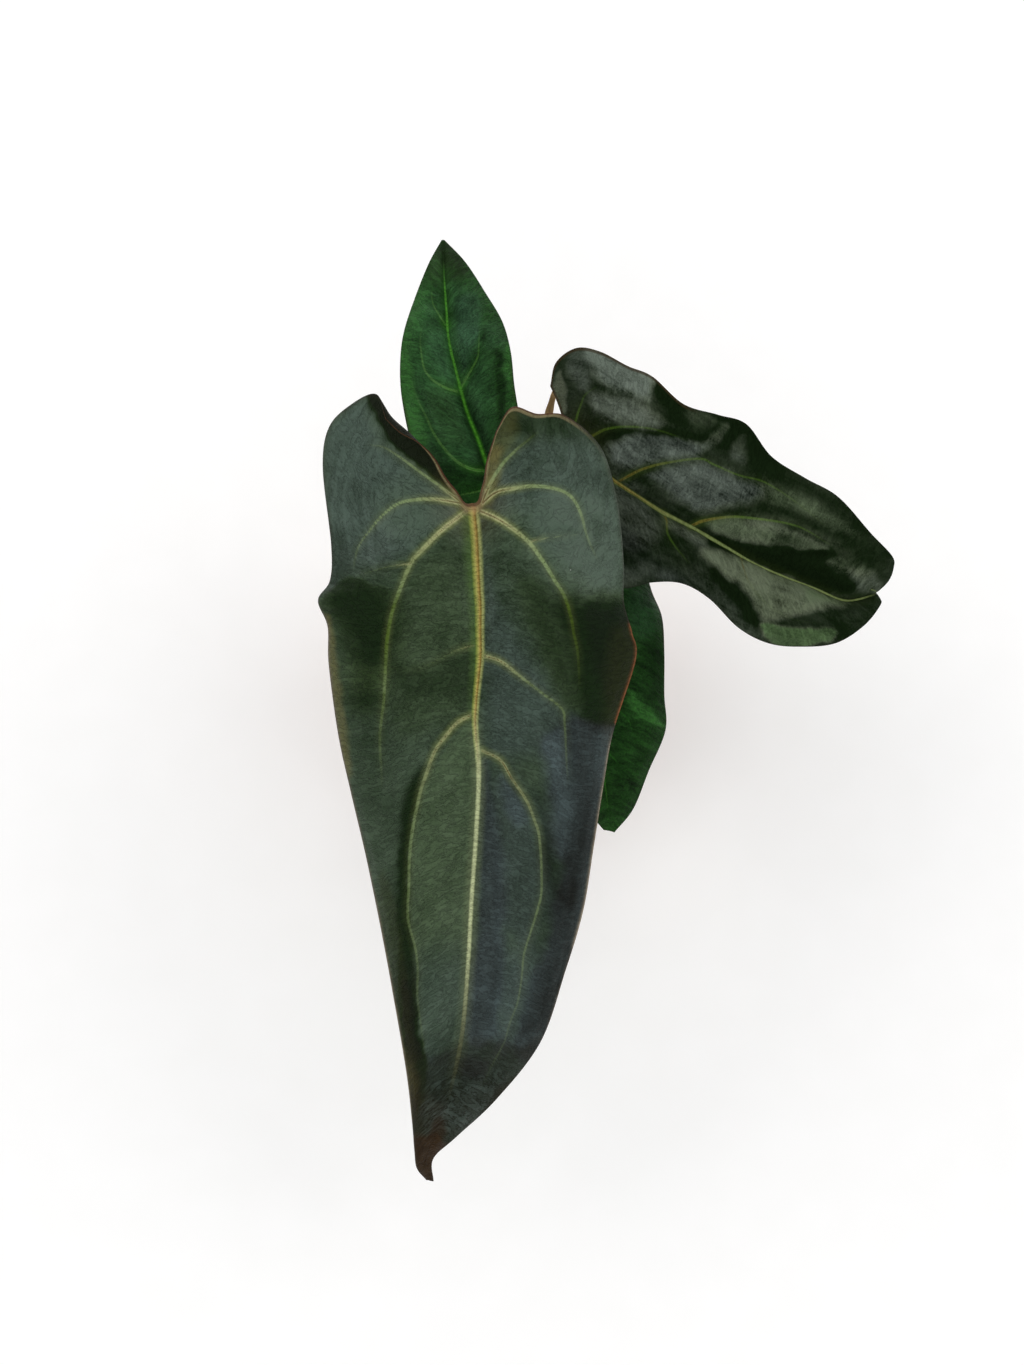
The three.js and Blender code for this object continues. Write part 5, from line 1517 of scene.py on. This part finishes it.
def rounded(corners, steps=5, size=1.1):
    """A profile with each inner corner cut back to a small curve."""
    corners = np.asarray(corners, float)
    out = [corners[0]]
    for before, here, after in zip(corners, corners[1:], corners[2:]):
        to_before, to_after = before - here, after - here
        cut = min(size, 0.45 * np.hypot(*to_before), 0.45 * np.hypot(*to_after))
        start = here + to_before / np.hypot(*to_before) * cut
        end = here + to_after / np.hypot(*to_after) * cut
        for u in np.linspace(0, 1, steps):
            out.append((1 - u) ** 2 * start + 2 * u * (1 - u) * here + u**2 * end)
    return np.array([*out, corners[-1]])


def spaced(profile, step=2.0):
    """The same profile with no stretch longer than step."""
    out = [profile[0]]
    for p, q in zip(profile, profile[1:]):
        count = max(1, int(np.hypot(*(q - p)) / step))
        out += [p + (q - p) * k / count for k in range(1, count + 1)]
    return np.array(out)


band_z = POT_H - BAND_H
pot_profile = spaced(rounded([
    (0.4, 0), (BASE_D / 2 - 0.6, 0), (outer_r(2), 2), (outer_r(band_z), band_z),
    (outer_r(band_z) + BAND_T, band_z + 1), (RIM_D / 2, POT_H - 0.8), (RIM_D / 2 - 0.8, POT_H),
    (inner_r(POT_H) + 0.8, POT_H), (inner_r(POT_H - 1), POT_H - 1),
    (inner_r(FLOOR_T + 3), FLOOR_T + 3), (inner_r(FLOOR_T) - 3, FLOOR_T), (0.4, FLOOR_T),
]))
rings = lathe(pot_profile, 180)
height = rings[..., 2]
turn = np.arctan2(rings[..., 1], rings[..., 0])
throwing = 0.07 * np.sin(height * 2.1 + turn) * ease(height, 2, 8)
wobble = 0.12 * np.sin(turn * 3 + height * 0.03)
reach = np.hypot(rings[..., 0], rings[..., 1])
inward = -np.abs(throwing + wobble) * ease(reach, 20, 40)
rings[..., :2] *= (1 + inward / np.maximum(reach, 1))[..., None]
pot = add_piece("clay_pot", rings.reshape(-1, 3), rod_faces(*rings.shape[:2]))


def bore(solid):
    """Cuts the drain holes through the pot's foot."""
    for n in range(DRAINS):
        swing = 2 * math.pi * (n + 0.5) / DRAINS
        drill = bpy.data.meshes.new("drill")
        shape = bmesh.new()
        bmesh.ops.create_cone(
            shape, cap_ends=True, segments=40, radius1=DRAIN_D * MM / 2,
            radius2=DRAIN_D * MM / 2, depth=4 * FLOOR_T * MM,
        )
        shape.to_mesh(drill)
        shape.free()
        cutter = bpy.data.objects.new("drill", drill)
        bpy.context.scene.collection.objects.link(cutter)
        cutter.location = (
            DRAIN_RING_R * MM * math.cos(swing), DRAIN_RING_R * MM * math.sin(swing), 0,
        )
        cut = solid.modifiers.new("drain", "BOOLEAN")
        cut.operation, cut.solver, cut.object = "DIFFERENCE", "EXACT", cutter
        bpy.context.view_layer.update()
        seen = solid.evaluated_get(bpy.context.evaluated_depsgraph_get())
        done = bpy.data.meshes.new_from_object(seen)
        solid.modifiers.clear()
        old, solid.data = solid.data, done
        bpy.data.meshes.remove(old)
        bpy.data.objects.remove(cutter)
        bpy.data.meshes.remove(drill)


bore(pot)
pot.data.polygons.foreach_set("use_smooth", [True] * len(pot.data.polygons))
print("pot:", len(pot.data.polygons), "faces after boring")

# %% Clay finish
clay = Finish("fired_clay")
at = clay.where()
height = clay.node("ShaderNodeSeparateXYZ", {}, {0: at}, out=2)
cloud = clay.noise(at, 0.035, 4)
sand = clay.noise(at, 0.0011, 3)
turned = clay.noise(clay.stretch(at, 0.15, 0.15, 6), 0.02, 3)
body = clay.blend(cloud.ease(0.3, 0.7), paint("#9c5a3a"), paint("#c08058"))
body = clay.blend(turned.ease(0.45, 0.75) * 0.45, body, paint("#8a4e33"))
lime = (cloud - 0.2 + (height - 0.07) * 5).ease(0.3, 0.75) * sand.ease(0.3, 0.6)
body = clay.blend(lime * 0.55, body, paint("#d9c4ae"))
body = clay.blend(sand.ease(0.68, 0.78) * 0.6, body, paint("#5a3524"))
clay.connect(clay.shader, {
    "Base Color": body,
    "Roughness": 0.78 + 0.15 * cloud,
    "Normal": clay.bump(sand * 0.6 + turned, 0.0004),
})
pot.data.materials.append(clay.material)
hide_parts("pot")

# %% [markdown]
# ## Floor, light and eye
# The plant stands on a plain pale floor under soft, even light, as in a bright white room. The
# eye is high in front, looking down at the leaves. Small lamps would leave hard spots on the
# satin leaves, so most of the light comes from an even sky that is palest near the horizon, and
# four large weak lamps only shape the pot and the stalks. Far out, the floor takes on the
# colour of the sky's horizon, so that no edge shows behind the plant from the side.

# %% Floor
FLOOR_RADIUS, FLOOR_GAP, FLOOR_GLOW = 12, 0.2, 0.12
NEAR_FLOOR, FAR_FLOOR = 1.2, 3.5
HORIZON, OVERHEAD = (0.85, 0.85, 0.85, 1), (0.6, 0.605, 0.615, 1)
floor_mesh = bpy.data.meshes.new("floor")
disc = bmesh.new()
bmesh.ops.create_circle(disc, cap_ends=True, radius=FLOOR_RADIUS, segments=96)
disc.to_mesh(floor_mesh)
disc.free()
floor = bpy.data.objects.new("floor", floor_mesh)
floor.location.z = -FLOOR_GAP * MM
bpy.context.scene.collection.objects.link(floor)
ground = Finish("floor_paint")
spot = ground.where()
speckle = ground.noise(spot, 0.02, 3)
away = ground.node("ShaderNodeVectorMath", {"operation": "LENGTH"}, {0: spot}, out=1)
far = away.ease(NEAR_FLOOR, FAR_FLOOR)
pale = ground.blend(speckle, paint("#f5f4f2"), paint("#faf9f8"))
ground.connect(ground.shader, {
    "Base Color": ground.blend(far, pale, (0.02, 0.02, 0.02, 1)),
    "Roughness": 0.8,
    "Specular IOR Level": 0,
    "Emission Color": ground.blend(far, (FLOOR_GLOW, FLOOR_GLOW, FLOOR_GLOW, 1), HORIZON),
    "Emission Strength": 1,
})
floor_mesh.materials.append(ground.material)

# %% Sky and lamps
LAMP_SIZE = 2
LAMPS = (
    ("left", (-2, 0.3, 2), 16), ("right", (2, 0.3, 2), 16),
    ("behind", (0.2, 2.5, 1.2), 14), ("front", (-0.2, -2.5, 1.2), 12),
)
world = bpy.data.worlds.new("room")
bpy.context.scene.world = world
world.use_nodes = True
room = world.node_tree
coordinate = room.nodes.new("ShaderNodeTexCoord")
height = room.nodes.new("ShaderNodeSeparateXYZ")
ramp = room.nodes.new("ShaderNodeValToRGB")
room.links.new(coordinate.outputs["Generated"], height.inputs[0])
room.links.new(height.outputs["Z"], ramp.inputs["Fac"])
room.links.new(ramp.outputs["Color"], room.nodes["Background"].inputs["Color"])
Finish.set_stops(ramp.color_ramp.elements, [(0, HORIZON), (0.3, OVERHEAD)])


def lamp(name, spot, power):
    """A round lamp that shines at the pot's foot."""
    data = bpy.data.lights.new(name, "AREA")
    data.shape, data.size, data.energy = "DISK", LAMP_SIZE, power
    lit = bpy.data.objects.new(name, data)
    bpy.context.scene.collection.objects.link(lit)
    lit.location = spot
    lit.rotation_euler = (-Vector(spot)).to_track_quat("-Z", "Y").to_euler()


for name, spot, power in LAMPS:
    lamp(name, spot, power)
print("lamps:", [name for name, _, _ in LAMPS])
bpy.context.scene.view_settings.view_transform = "Standard"

# %% Eye
CAMERA_BACK = 796.25
target = SHEET_MID * MM
eye_data = bpy.data.cameras.new("eye")
eye = bpy.data.objects.new("eye", eye_data)
bpy.context.scene.collection.objects.link(eye)
eye_data.lens, eye_data.sensor_width, eye_data.sensor_fit = 50, 36, "AUTO"
eye.location = Vector(target - AWAY * CAMERA_BACK * MM)
eye.rotation_euler = Vector(AWAY).to_track_quat("-Z", "Y").to_euler()
bpy.context.scene.camera = eye
print("eye:", [round(v, 4) for v in eye.location])

bpy.context.view_layer.update()
